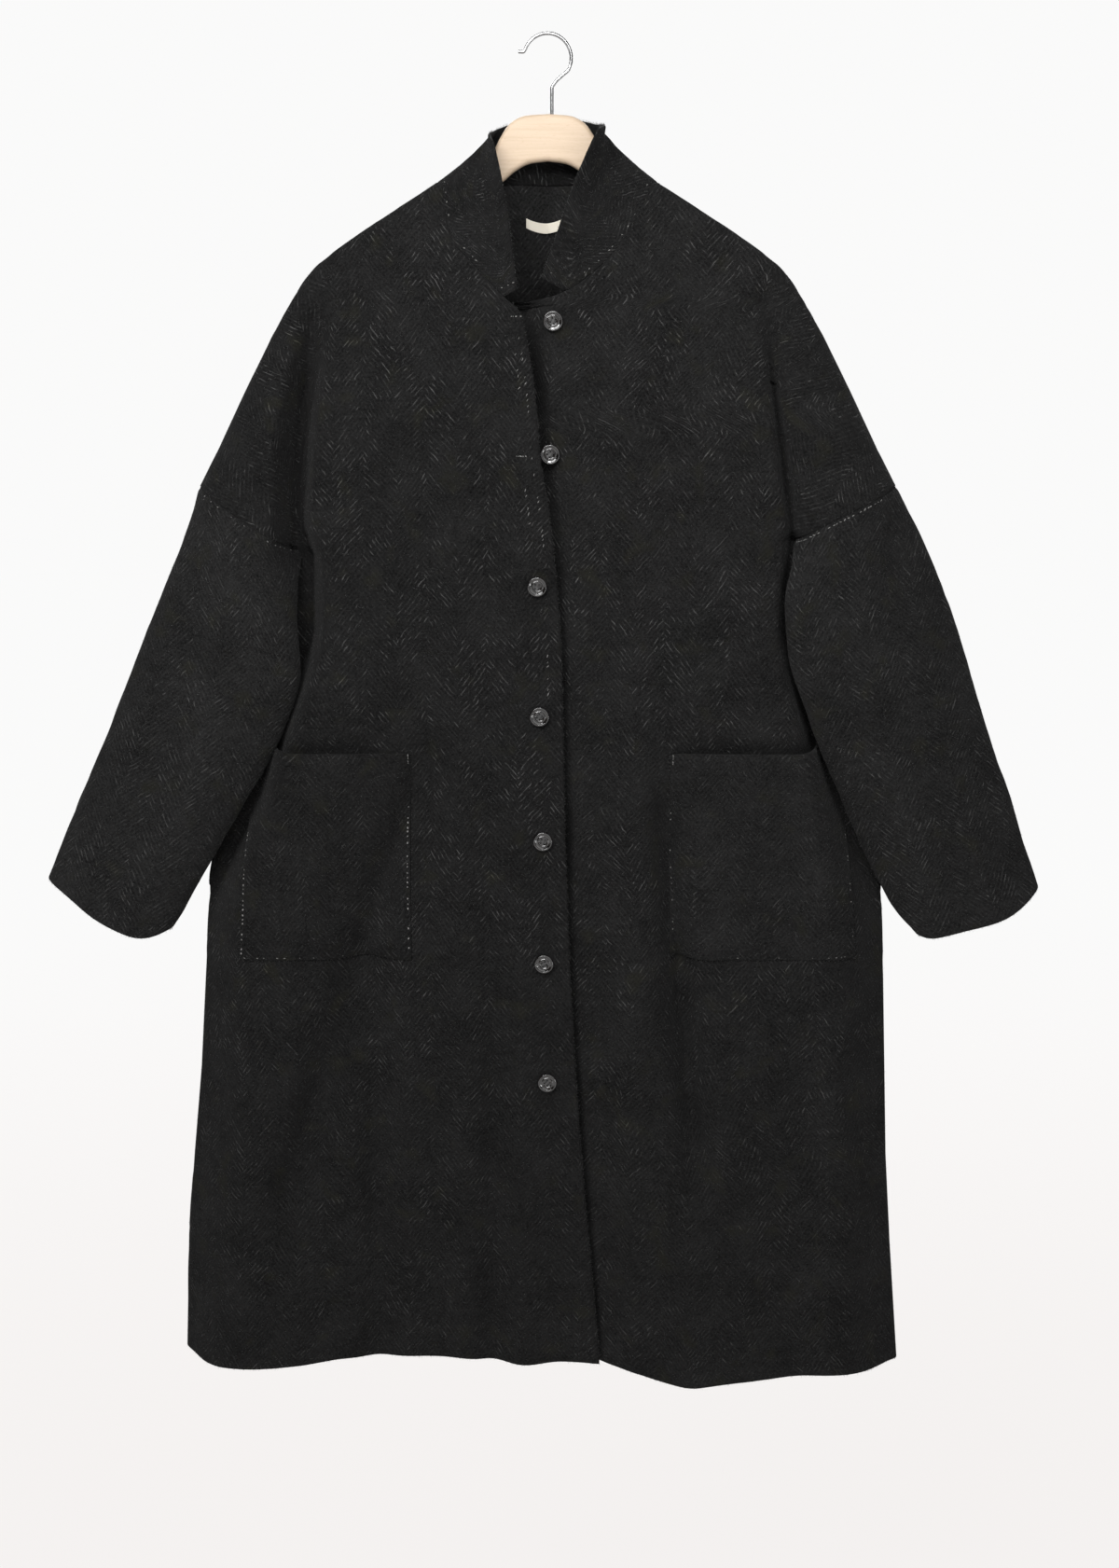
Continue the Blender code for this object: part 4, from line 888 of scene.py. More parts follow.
def sampled(values, run, at):
    """Rows of values at places along a run."""
    return np.stack([np.interp(at, run, column) for column in values.T], axis=1)


def make_sleeve(side, finish):
    keys = np.stack([armhole_ring(side)] + [sleeve_ring(row) for row in SLEEVE[side]])
    keys[-1] += cuff_shift(side)
    stops = run_along(keys).mean(axis=1)
    at = np.concatenate((SEAM_ROWS, np.linspace(SLEEVE_FIRST, stops[-1], SLEEVE_ROWS)))
    grid = through(stops, keys, at)
    share = ease(at / SLEEVE_SMOOTH_START)[:, None]
    grid = grid + (soften(grid, SLEEVE_SMOOTH, wrap=True) - grid) * share[:, :, None]
    into = inward(grid, grid.mean(axis=1, keepdims=True), wrap=True)
    into = unit(soften(into, EDGE_SOFTEN, wrap=True))
    along = grid[:, :, 0] * SLEEVE_AXIS[0] + grid[:, :, 2] * SLEEVE_AXIS[1]
    run = run_along(closed(grid), 1)
    grid = grid - into * (ripple(run[:, :-1], along, SLEEVE_SEED[side]) * share)[:, :, None]
    over_front, over_back = slice(1, RING_FRONT), slice(RING_FRONT + RING_STRIP + 1, None)
    into[0, over_front] = in_armhole_plane(into[0, over_front], CREASE_FOOT[side])
    into[0, over_back] = in_armhole_plane(into[0, over_back], UNDERARM)
    into[0, 0] = in_armhole_plane(np.array((0, 0, -1.0)), UNDERARM)
    u, v = turned(run - run[:, [RING_FRONT // 2]], -closed(along), SLEEVE_TURN)
    bulge = np.ones(grid.shape[:2])
    bulge[0] = SEAM_BULGE
    mirror = (SIGN[side], 1, 1)
    outer, inner = dipped(grid, into, at[:, None] + 0 * along) * mirror, (grid + CLOTH * into) * mirror
    weave = np.stack((SIGN[side] * u, v), axis=2)
    return cloth_piece(f"sleeve_{side}", outer, inner, weave, finish, bulge, wrap=True)


def neck_seam(side):
    """Points of a front's neckline from its end up to the shoulder seam, on the outer face."""
    z = np.linspace(COLLAR_SEAM_END_Z[side], NECK_Z, NECK_SAMPLES)
    h = curve(FRONT_EDGE[side], z)
    corner_h = np.linspace(h[-1], curve(SHOULDER, NECK_Z), NECK_CORNER_SAMPLES)[1:]
    h, z = np.append(h, corner_h), np.append(z, 0 * corner_h + NECK_Z)
    end_x, end_z = COLLAR_END[side]
    seam = lay(SIGN[side] * h, front_surface(side, h, z), z)
    return np.concatenate((((end_x, seam[0, 1] - CLOTH, end_z),), seam))


def collar_edges():
    """Lower and upper edge of the collar at evenly spaced stations round the neck."""
    corner_h = curve(SHOULDER, NECK_Z)
    x = np.linspace(-corner_h, corner_h, BACK_NECK_SAMPLES)[1:-1]
    back = lay(x, back_surface(x, 0 * x + NECK_Z), NECK_Z)
    lower = np.concatenate((neck_seam("right"), back, neck_seam("left")[::-1]))
    run = run_along(lower)
    share = np.linspace(0, 1, COLLAR_STATIONS + 1)
    top = np.array(COLLAR_TOP)
    return sampled(lower, run, share * run[-1]), through(top[:, 0], top[:, 1:], share)


def make_collar(finish):
    lower, upper = collar_edges()
    middle = upper.mean(axis=0)
    into_neck = (middle - lower) * (1, 1, 0)
    lower = lower + unit(upper - lower) * COLLAR_GAP + unit(into_neck) * COLLAR_INSET
    share = np.linspace(1, 0, COLLAR_ROWS + 1)[:, None, None]
    grid = lower + (upper - lower) * share
    inner_side = middle * (1, 1, 0) + grid * (0, 0, 1)
    grid = grid + arch(share) * COLLAR_FLARE * unit(inner_side - grid)
    run = run_along(grid, 1)
    wave = sum(size * noise(run / length, 2 * share[:, :, 0] + length) for length, size in COLLAR_WAVES)
    into = unit(soften(inward(grid, inner_side), EDGE_SOFTEN))
    grid = grid + into * (wave * share[:, :, 0])[:, :, None]
    into[-1, :, 2] = COLLAR_FOOT_TILT
    into[-1] = unit(into[-1])
    height = run_along(grid[::-1])[::-1]
    weave = np.stack(turned(run - run[:, -1:] / 2, height, COLLAR_TURN), axis=2)
    bulge = np.ones(grid.shape[:2])
    bulge[-1] = SEAM_BULGE
    return cloth_piece("collar", dipped(grid, into, height), grid + CLOTH * into, weave, finish, bulge)


def make_pocket(side, finish):
    """Patch on its front: sewn down and drawn in along three edges, slack along the mouth."""
    down = np.linspace(0, 1, POCKET_ROWS + 1)[:, None]
    across = np.linspace(0, 1, POCKET_COLUMNS + 1)[None, :]
    place = POCKETS[side]
    z = POCKET_TOP_Z + (POCKET_BOTTOM_Z - POCKET_TOP_Z) * down + 0 * across
    h = place.inner_h + (place.top_h + (place.bottom_h - place.top_h) * down - place.inner_h) * across
    panel = lay(SIGN[side] * h, front_surface(side, h, z), z)
    out = -inward(panel, panel + (0, 1, 0))
    gape = POCKET_GAPE * arch(across) * (1 - ease((POCKET_TOP_Z - z) / POCKET_GAPE_REACH))
    seat = panel + out * (POCKET_GAP + gape)[:, :, None]
    sewn = np.minimum(np.minimum(h - h[:, :1], h[:, -1:] - h), z - POCKET_BOTTOM_Z)
    pull = POCKET_PULL * (1 - ease(sewn / POCKET_PULL_REACH))
    weave = np.stack((SIGN[side] * h + POCKET_SHIFT, z), axis=2)
    return cloth_piece(f"pocket_{side}", seat + out * (CLOTH - pull)[:, :, None], seat, weave, finish)


class Shader:
    """Small helper that lays out a node material."""

    def __init__(self, name):
        self.material = bpy.data.materials.new(name)
        self.material.use_nodes = True
        self.tree = self.material.node_tree
        self.surface = self.tree.nodes["Principled BSDF"].inputs

    def join(self, value, socket):
        if isinstance(value, bpy.types.NodeSocket):
            self.tree.links.new(value, socket)
        else:
            socket.default_value = value

    def node(self, kind, *values, out=0, **given):
        """Output of a new node, with its first inputs, and its settings and other inputs by name."""
        node = self.tree.nodes.new(f"ShaderNode{kind}")
        for key, value in given.items():
            if key in node.inputs:
                self.join(value, node.inputs[key])
            else:
                setattr(node, key, value)
        for value, socket in zip(values, node.inputs):
            self.join(value, socket)
        return node.outputs[out]

    def math(self, operation, *values, clamp=False):
        return self.node("Math", *values, operation=operation, use_clamp=clamp)

    def vector(self, operation, *values, out="Vector"):
        return self.node("VectorMath", *values, operation=operation, out=out)

    def scaled(self, vector, factor):
        return self.vector("MULTIPLY", vector, (factor, factor, factor))

    def noise(self, vector, scale, detail=2.0, roughness=0.5, out="Fac"):
        return self.node("TexNoise", Vector=vector, Scale=scale, Detail=detail, Roughness=roughness, out=out)

    def span(self, value, low, high, to_low=0.0, to_high=1.0):
        """Smooth step of a value from one span to another."""
        return self.node("MapRange", value, low, high, to_low, to_high, interpolation_type="SMOOTHSTEP")

    def blend(self, shares, values):
        """Sum of the named values, each times its share."""
        total = 0.0
        for name, share in shares.items():
            total = self.math("MULTIPLY_ADD", values[name], share, total)
        return total

    def mix(self, share, first, second):
        node = self.tree.nodes.new("ShaderNodeMix")
        node.data_type = "RGBA"
        self.join(share, node.inputs[0])
        for given, socket in ((first, node.inputs[6]), (second, node.inputs[7])):
            self.join((*given, 1.0) if isinstance(given, tuple) else given, socket)
        return node.outputs[2]

    def place(self, stretch=(1.0, 1.0, 1.0)):
        return self.vector("MULTIPLY", self.node("TexCoord", out="Object"), stretch)

    def bump(self, height, size):
        self.join(self.node("Bump", Strength=1.0, Distance=size, Height=height), self.surface["Normal"])

    def finish(self, **values):
        """Material with the given surface."""
        for name, value in values.items():
            self.join(value, self.surface[name.replace("_", " ")])
        return self.material


def wool(name, look, seed, hem_shade):
    """Felted herringbone: dark napped ground with clusters of lighter strokes, dimmed towards the hem on
    some pieces as painted shade.
    """
    s = Shader(name)
    cloth = s.scaled(s.node("UVMap", uv_map="cloth"), 1 / MM)
    flat = s.vector("ADD", cloth, (WOOL_SHIFT[0] * seed, WOOL_SHIFT[1] * seed, 0.0))
    value = {key: s.noise(flat, 1 / size, *fine) for key, (size, *fine) in WOOL_NOISE.items()}
    warped = flat
    for size, reach in WARPS:
        sway = s.vector("SUBTRACT", s.noise(flat, 1 / size, 1.0, out="Color"), (0.5, 0.5, 0.5))
        warped = s.vector("ADD", warped, s.scaled(sway, reach))
    u, v = (s.node("SeparateXYZ", warped, out=axis) for axis in "XY")
    zig = s.math("PINGPONG", u, WEAVE_COLUMN)
    value["column"] = s.math("FLOOR", s.math("DIVIDE", u, WEAVE_COLUMN))
    value["rise"] = s.math("MULTIPLY_ADD", zig, math.tan(WEAVE_ANGLE), v)
    phase = s.blend(PHASE, value)
    value["line"] = s.math("FLOOR", phase)
    value["ridge"] = s.math("MULTIPLY", s.math("PINGPONG", phase, 0.5), 2.0)
    along = s.math("DIVIDE", zig, math.cos(WEAVE_ANGLE) * STROKE_LENGTH)
    row = s.blend(STROKE_ROW, value)
    dash = s.noise(s.node("CombineXYZ", row, along), 1.0, 1.0)
    worn = s.noise(s.node("CombineXYZ", row, s.math("MULTIPLY", along, WORN_STRETCH), WORN_SHIFT), 1.0, 1.0)
    light = s.span(s.blend(CLUSTERS, value), *CLUSTER_SPAN)
    shown = [(dash, DASH_SPAN), (worn, WORN_SPAN)]
    shown += [(value["ridge"], STROKE_THIN), (value["fibre"], FIBRE_SPAN)]
    # Strokes dim towards the hem: painted shade
    if hem_shade:
        shown.append((s.node("SeparateXYZ", cloth, out="Y"), HEM_PAINTED_SHADE))
    for pattern, span in shown:
        light = s.math("MULTIPLY", light, s.span(pattern, *span))
    value["light"] = light
    # The ground made paler or darker per piece is painted light and shade.
    ground = s.mix(s.span(s.blend(NAP, value), *NAP_SPAN), WOOL_DARK, tuple(look.lift * c for c in WOOL_MID))
    olive = s.math("MULTIPLY", s.span(value["olive"], *OLIVE_SPAN), OLIVE_SHARE)
    bright = s.mix(s.math("MULTIPLY", olive, MOSS_SHARE, clamp=True), WOOL_LIGHT, WOOL_MOSS)
    strokes = s.math("MULTIPLY", light, look.strokes, clamp=True)
    colour = s.mix(strokes, s.mix(olive, ground, WOOL_OLIVE), bright)
    s.bump(s.blend(RELIEF, value), WOOL_RELIEF)
    return s.finish(Base_Color=colour, **WOOL_SURFACE)


def horn():
    s = Shader("button_horn_look")
    value = {"cloud": s.noise(s.place(), *HORN_CLOUD), "vein": s.noise(s.place(HORN_STRETCH), HORN_VEIN)}
    share = s.span(s.blend(HORN_SHARES, value), *HORN_SPAN)
    s.bump(value["vein"], HORN_RELIEF)
    return s.finish(Base_Color=s.mix(share, HORN_DARK, HORN_LIGHT), Roughness=0.08, Specular_IOR_Level=1.0)


def thread(name, dark, light):
    s = Shader(name)
    fibre = s.noise(s.place(), THREAD_FIBRE)
    s.bump(fibre, THREAD_RELIEF)
    return s.finish(Base_Color=s.mix(fibre, dark, light), Roughness=0.7, Sheen_Weight=0.2)


def tape():
    s = Shader("label_tape_look")
    across, up = (s.node("SeparateXYZ", s.place(), out=axis) for axis in "XZ")
    warp, weft = (s.math("PINGPONG", s.math("DIVIDE", run, TAPE_THREAD), 0.5) for run in (across, up))
    soil = s.math("MULTIPLY", s.noise(s.place(), TAPE_SOIL, 3.0), TAPE_SOILED)
    s.bump(s.math("ADD", weft, warp), TAPE_RELIEF)
    return s.finish(Base_Color=s.mix(soil, TAPE_LIGHT, TAPE_DARK), Roughness=0.75, Sheen_Weight=0.15)


def beech():
    s = Shader("beech_look")
    at = s.place(BEECH_STRETCH)
    bend = s.vector("ADD", at, s.scaled(s.noise(at, BEECH_BEND, out="Color"), BEECH_BENT))
    ring = s.noise(s.vector("MULTIPLY", bend, BEECH_ALONG), *BEECH_RINGS)
    fleck = s.noise(s.place(FLECK_ALONG), FLECKS, 1.0)
    colour = s.mix(s.span(ring, *BEECH_SPAN), BEECH_LIGHT, BEECH_DARK)
    colour = s.mix(s.math("MULTIPLY", s.span(fleck, *FLECK_SPAN), FLECK_SHARE), colour, BEECH_FLECK)
    s.bump(s.math("MULTIPLY_ADD", ring, RING_RELIEF, fleck), BEECH_RELIEF)
    return s.finish(Base_Color=colour, Roughness=0.48, Specular_IOR_Level=0.4)


def steel():
    s = Shader("steel_wire_look")
    drawn = s.noise(s.place(STEEL_ALONG), STEEL_DRAWN)
    rough = s.span(drawn, *STEEL_ROUGH)
    return s.finish(Base_Color=s.mix(drawn, STEEL_DARK, STEEL_LIGHT), Roughness=rough, Metallic=1.0)


def add_object(name, data):
    made = bpy.data.objects.new(name, data)
    bpy.context.scene.collection.objects.link(made)
    return made


def add_piece(name, mesh, finish, node=None):
    mesh.shade_smooth()
    mesh.materials.clear()
    mesh.materials.append(finish)
    made = add_object(name, mesh)
    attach(made, "root")
    if node:
        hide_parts(node)
    return made


def mesh_of(holder):
    """Final mesh of an object with its modifiers or bevel, the object being removed."""
    bpy.context.view_layer.update()
    mesh = bpy.data.meshes.new_from_object(holder.evaluated_get(bpy.context.evaluated_depsgraph_get()))
    bpy.data.objects.remove(holder)
    return mesh


def curve_mesh(name, routes, cyclic=False, **settings):
    """Mesh of a bevelled curve through rows of points, in millimetres."""
    line = bpy.data.curves.new(name, "CURVE")
    for key, value in settings.items():
        setattr(line, key, value)
    for route in routes:
        spline = line.splines.new("POLY")
        spline.points.add(len(route) - 1)
        for point, at in zip(spline.points, route):
            point.co = (*(np.asarray(at) * MM), 1)
        spline.use_cyclic_u = cyclic
    return mesh_of(add_object(name, line))


def wire_mesh(name, routes, radius, sides):
    """Round wires through rows of points, in millimetres, as one mesh."""
    bevel = {"bevel_depth": radius * MM, "bevel_resolution": sides}
    return curve_mesh(name, routes, dimensions="3D", use_fill_caps=True, **bevel)


def welded(build, mesh, reach):
    """Joins points that lie together, turns all faces outward and fills the mesh."""
    bmesh.ops.remove_doubles(build, verts=build.verts, dist=reach * MM)
    bmesh.ops.recalc_face_normals(build, faces=build.faces)
    build.to_mesh(mesh)
    build.free()
    return mesh


def smooth_route(points, count):
    """Evenly spaced points on a smooth curve through the given ones."""
    points = np.asarray(points, float)
    run = run_along(points)
    return through(run, points, np.linspace(0, run[-1], count))


def bar_outline():
    """Half of the hanger's outline, from the middle of the top round the tip to the middle of the arch."""
    slope_h, slope_z = SHOULDER[-1][1] - SHOULDER[0][1], SHOULDER[-1][0] - SHOULDER[0][0]
    drop = BAR_UNDER_SEAM * math.hypot(slope_h, slope_z) / slope_h
    arms = [(h, z) for z, h in SHOULDER]
    middle_h = BAR_TIP_H - BAR_TIP_ROUND
    arm_h = np.linspace(BAR_ARM_START, middle_h, BAR_FINE)
    crown = smooth_route(list(BAR_TOP) + [(h, curve(arms, h) - drop) for h in arm_h], 3 * BAR_FINE)
    tip_z = crown[-1][1]
    turn = np.linspace(math.pi / 2, 0, TIP_FINE)
    upper_z = tip_z - BAR_TIP_ROUND * (1 - np.sin(turn))
    upper = np.stack((middle_h + BAR_TIP_ROUND * np.cos(turn), upper_z), axis=1)
    lower_z = tip_z - BAR_TIP_HEIGHT + BAR_TIP_ROUND
    lower = np.stack((upper[::-1, 0], lower_z - BAR_TIP_ROUND * np.sin(turn[::-1])), axis=1)
    under = [(h, curve(arms, h) - drop - height) for h, height in BAR_UNDER]
    foot = smooth_route([lower[-1]] + under + list(BAR_ARCH)[::-1], 3 * BAR_FINE)
    return np.concatenate((crown[:-1], upper[:-1], lower[:-1], foot))


def make_bar(finish):
    half = bar_outline()
    outline = np.concatenate((half[:-1], (half * (-1, 1))[::-1][:-1]))
    mesh = curve_mesh(
        "bar_outline", [lay(*outline.T, 0)], cyclic=True, dimensions="2D", fill_mode="BOTH",
        extrude=(BAR_THICK / 2 - BAR_EDGE) * MM, bevel_depth=BAR_EDGE * MM, bevel_resolution=BAR_BEVEL,
        offset=-BAR_EDGE * MM,
    )
    mesh.transform(Matrix.Rotation(math.radians(90), 4, "X"))
    build = bmesh.new()
    build.from_mesh(mesh)
    add_piece("hanger_bar_wood", welded(build, mesh, BAR_WELD), finish, "hanger_bar")


def make_hook(finish):
    middle_z, crook = -HOOK_INNER, HOOK_INNER + WIRE_RADIUS
    foot_z = BAR_TOP[0][1] - HOOK_REACH + 2 * HOOK_CLEAR
    stem = [(HOOK_STEM_X, z) for z in np.linspace(foot_z, HOOK_BEND_Z, STEM_STEPS)]
    sweep = [(HOOK_STEM_X + x, HOOK_BEND_Z + z) for x, z in HOOK_SWEEP]
    turns = np.linspace(HOOK_START, HOOK_END, CROOK_STEPS)
    arc = [(crook * math.cos(a), middle_z + crook * math.sin(a)) for a in turns]
    tip = [(arc[-1][0] + x, arc[-1][1] + z) for x, z in HOOK_TIP]
    route = smooth_route(stem + sweep + arc + tip, HOOK_FINE)
    mesh = wire_mesh("hook_wire", [lay(route[:, 0], 0, route[:, 1])], WIRE_RADIUS, WIRE_SIDES)
    add_piece("hanger_hook_wire", mesh, finish, "hanger_hook")


def revolved(profile, steps):
    """Closed mesh turned about y from (radius, height) corners, height towards the viewer."""
    build = bmesh.new()
    verts = [build.verts.new((r * MM, -height * MM, 0)) for r, height in profile]
    edges = [build.edges.new(pair) for pair in zip(verts[:-1], verts[1:])]
    whole = {"cent": (0, 0, 0), "axis": (0, 1, 0), "angle": 2 * math.pi, "use_merge": True}
    bmesh.ops.spin(build, geom=verts + edges, steps=steps, **whole)
    return welded(build, bpy.data.meshes.new("turned"), BUTTON_WELD)


def button_mesh():
    """Turned disc with a raised rounded rim, a dished middle and four holes."""
    lip = BUTTON_RADIUS - BUTTON_RIM
    floor = BUTTON_THICK - BUTTON_DISH
    turn = np.linspace(0, math.pi, RIM_FINE)
    top = BUTTON_THICK - RIM_RISE
    rim = [(lip + BUTTON_RIM / 2 * (1 - math.cos(a)), top + RIM_RISE * math.sin(a)) for a in turn]
    hollow = np.linspace(0, lip - DISH_EDGE, DISH_FINE)
    raised = RING_RISE * np.exp(-(((hollow - RING_AT) / RING_WIDE) ** 2))
    dish = list(zip(hollow, floor - DISH_BOWL * (1 - (hollow / lip) ** 2) + raised))
    slope = [(lip - DISH_SLOPE[0], floor + DISH_SLOPE[1])]
    side = [(BUTTON_RADIUS - inset, height) for inset, height in BUTTON_SIDE]
    holder = add_object("disc", revolved(dish + slope + rim + side, BUTTON_TURNS))
    drills = []
    half = HOLE_APART / 2
    for x, z in ((-half, -half), (-half, half), (half, -half), (half, half)):
        bpy.ops.mesh.primitive_cylinder_add(
            vertices=HOLE_SIDES, radius=HOLE_RADIUS * MM, depth=4 * BUTTON_THICK * MM,
            location=(x * MM, 0, z * MM), rotation=(math.radians(90), 0, 0),
        )
        drills.append(bpy.context.object)
        cut = holder.modifiers.new("hole", "BOOLEAN")
        cut.object = drills[-1]
    mesh = mesh_of(holder)
    for drill in drills:
        bpy.data.objects.remove(drill)
    mesh.set_sharp_from_angle(angle=SHARP_ANGLE)
    return mesh


def make_button(index, x, z, mesh, finish, sewing):
    """Button and its sewing thread, standing just off the cloth."""
    side = "left" if index <= BUTTONS_UNDER else "right"
    angle = np.linspace(0, 2 * math.pi, SEAT_ANGLES, endpoint=False)
    radius = np.linspace(0, BUTTON_RADIUS, SEAT_RINGS)[:, None]
    foot_x, foot_z = x + radius * np.cos(angle), z + radius * np.sin(angle)
    seat = front_surface(side, SIGN[side] * foot_x, foot_z).min() - 2 * SEAM
    put = Matrix.Translation((x * MM, seat * MM, z * MM)) @ Matrix.Rotation(BUTTON_SPIN[index - 1], 4, "Y")
    copy = mesh.copy()
    copy.transform(put)
    add_piece(f"coat_button_{index}", copy, finish, f"button_{index}")
    routes = []
    half, bend = HOLE_APART / 2, STRAND_BEND - BUTTON_THICK
    for k, height in enumerate(STRAND_HEIGHTS):
        first, last = (top - BUTTON_THICK - height for top in STRAND_TOP)
        up = [(STRAND_FOOT, -half), (bend, -half), (first, STRAND_INSET - half)]
        down = [(last, half - STRAND_INSET), (bend, half), (STRAND_FOOT, half)]
        for sign in (-1, 1):
            shift = sign * half + STRAND_APART * (k - 1)
            routes.append(smooth_route([(shift, *at) for at in up + down], STRAND_FINE))
    strands = wire_mesh(f"button_thread_{index}", routes, STRAND_RADIUS, STRAND_SIDES)
    strands.transform(put)
    add_piece(f"coat_button_thread_{index}", strands, sewing)


def make_label(finish):
    """Bare strip tacked at its two ends inside the back neck."""
    across = np.linspace(0, 1, LABEL_COLUMNS)[None, :]
    down = np.linspace(0, 1, LABEL_ROWS)[:, None]
    x = LABEL_X + LABEL_WIDTH * (across - 0.5) + 0 * down
    z = LABEL_TOP_Z - LABEL_SAG * arch(across) - LABEL_HEIGHT * down
    back = lay(x, back_surface(x, z), z)
    forward = inward(back, back + (0, -1, 0))
    curl = LABEL_CURL * arch(across) * (LABEL_CURL_TOP + (1 - LABEL_CURL_TOP) * down)
    seat = back + forward * (CLOTH + 2 * SEAM + curl)[:, :, None]
    weave = np.stack((x, z), axis=2)
    return cloth_piece("label", seat + forward * LABEL_WALL, seat, weave, finish)


def joined(name, points, faces, places, finish):
    """One piece of many small closed shapes: their points in millimetres, the faces of one, its bake map."""
    count, corners = points.shape[:2]
    mesh = bpy.data.meshes.new(name)
    every = faces[None] + corners * np.arange(count)[:, None, None]
    mesh.from_pydata(points.reshape(-1, 3) * MM, [], every.reshape(-1, 3).tolist())
    side = math.ceil(math.sqrt(count))
    cell = np.stack(np.divmod(np.arange(count), side), axis=1)[:, None]
    spots = ((cell + places[faces.ravel()]) / side).astype(np.float32)
    mesh.uv_layers.new(name="OFBake").data.foreach_set("uv", spots.ravel())
    return add_piece(name, mesh, finish)


Row = namedtuple("Row", "at along out size")


def stitch_row(line, out, stitch, seed, start=0.0, end=1.0):
    """Uneven stitches along a line of points, between two shares of its length."""
    chance = np.random.default_rng(seed)
    run = run_along(line)
    at = np.arange(start * run[-1], end * run[-1], stitch.apart)
    at = at[chance.uniform(0, 1, len(at)) < stitch.kept]
    at = at + chance.uniform(-STITCH_DRIFT, STITCH_DRIFT, len(at)) * stitch.apart
    place, ahead, normal = (sampled(values, run, at) for values in (line, np.gradient(line, axis=0), out))
    normal = unit(normal)
    across = np.cross(unit(ahead), normal)
    ahead = unit(ahead) + across * chance.uniform(*stitch.turn, (len(at), 1))
    size = chance.uniform(*STITCH_SIZES, (len(at), 1)) * (stitch.length, stitch.width, stitch.rise)
    return Row(place, unit(ahead), normal, size)


def stitches(name, rows, finish):
    """Rows of rounded stitches, half sunk in the cloth, as one piece."""
    build = bmesh.new()
    bmesh.ops.create_icosphere(build, subdivisions=STITCH_FINE, radius=0.5)
    shape = np.array([v.co for v in build.verts])
    faces = np.array([[v.index for v in face.verts] for face in build.faces])
    build.free()
    at, along, out, size = (np.concatenate(values) for values in zip(*rows))
    axes = np.stack((along, np.cross(out, along), out), axis=1)
    points = at[:, None] + np.einsum("vk,nk,nkc->nvc", shape, size, axes)
    return joined(name, points, faces, 0.5 + BAKE_STITCH * shape[:, :2], finish)


def on_front(side, x, z):
    """Points on a front's outer face and the directions out of it."""
    h = SIGN[side] * x
    y = front_surface(side, h, z)
    slope_x = SIGN[side] * (front_surface(side, h + SLOPE_STEP, z) - y) / SLOPE_STEP
    slope_z = (front_surface(side, h, z + SLOPE_STEP) - y) / SLOPE_STEP
    return lay(x, y, z), unit(lay(slope_x, -1, slope_z))


def edge_rows(piece):
    """Stitches along the over-panel's front edge and round its two open buttonholes."""
    rows = []
    for seed, (top, foot, column) in enumerate(EDGE_SEWN, start=EDGE_SEED):
        line, out = piece.outer[:, column], piece.out[:, column]
        part = (line[:, 2] < top) & (line[:, 2] > foot)
        rows.append(stitch_row(line[part], out[part], EDGE_STITCH, seed))
    for seed, (start, end, level) in enumerate(BUTTONHOLES, start=HOLE_SEED):
        x = np.linspace(start, end, HOLE_SAMPLES)
        rows.append(stitch_row(*on_front("right", x, 0 * x + level), HOLE_STITCH, seed))
    return rows


def pocket_rows(side, piece, seed):
    """Stitches down both sides of a pocket and along its foot."""
    near, far = (piece.outer[:, 0] + piece.outer[:, 1]) / 2, (piece.outer[:, -1] + piece.outer[:, -2]) / 2
    foot = (piece.outer[-1] + piece.outer[-2]) / 2
    lines = (
        (near, piece.out[:, 1], POCKET_TACK), (near, piece.out[:, 1], POCKET_STITCH[side]),
        (far, piece.out[:, -2], POCKET_STITCH[side]), (foot, piece.out[-2], POCKET_FOOT_STITCH[side]),
    )
    return [stitch_row(*line, seed + k, *POCKET_SEWN[k]) for k, line in enumerate(lines)]


def along_edges(grid, edges, depth=0):
    """Points of a grid along its named edges, or so many rows or columns further in."""
    last = -1 - depth
    rows = {"top": grid[depth], "bottom": grid[last], "near": grid[:, depth], "far": grid[:, last]}
    return np.concatenate([rows[edge] for edge in edges])


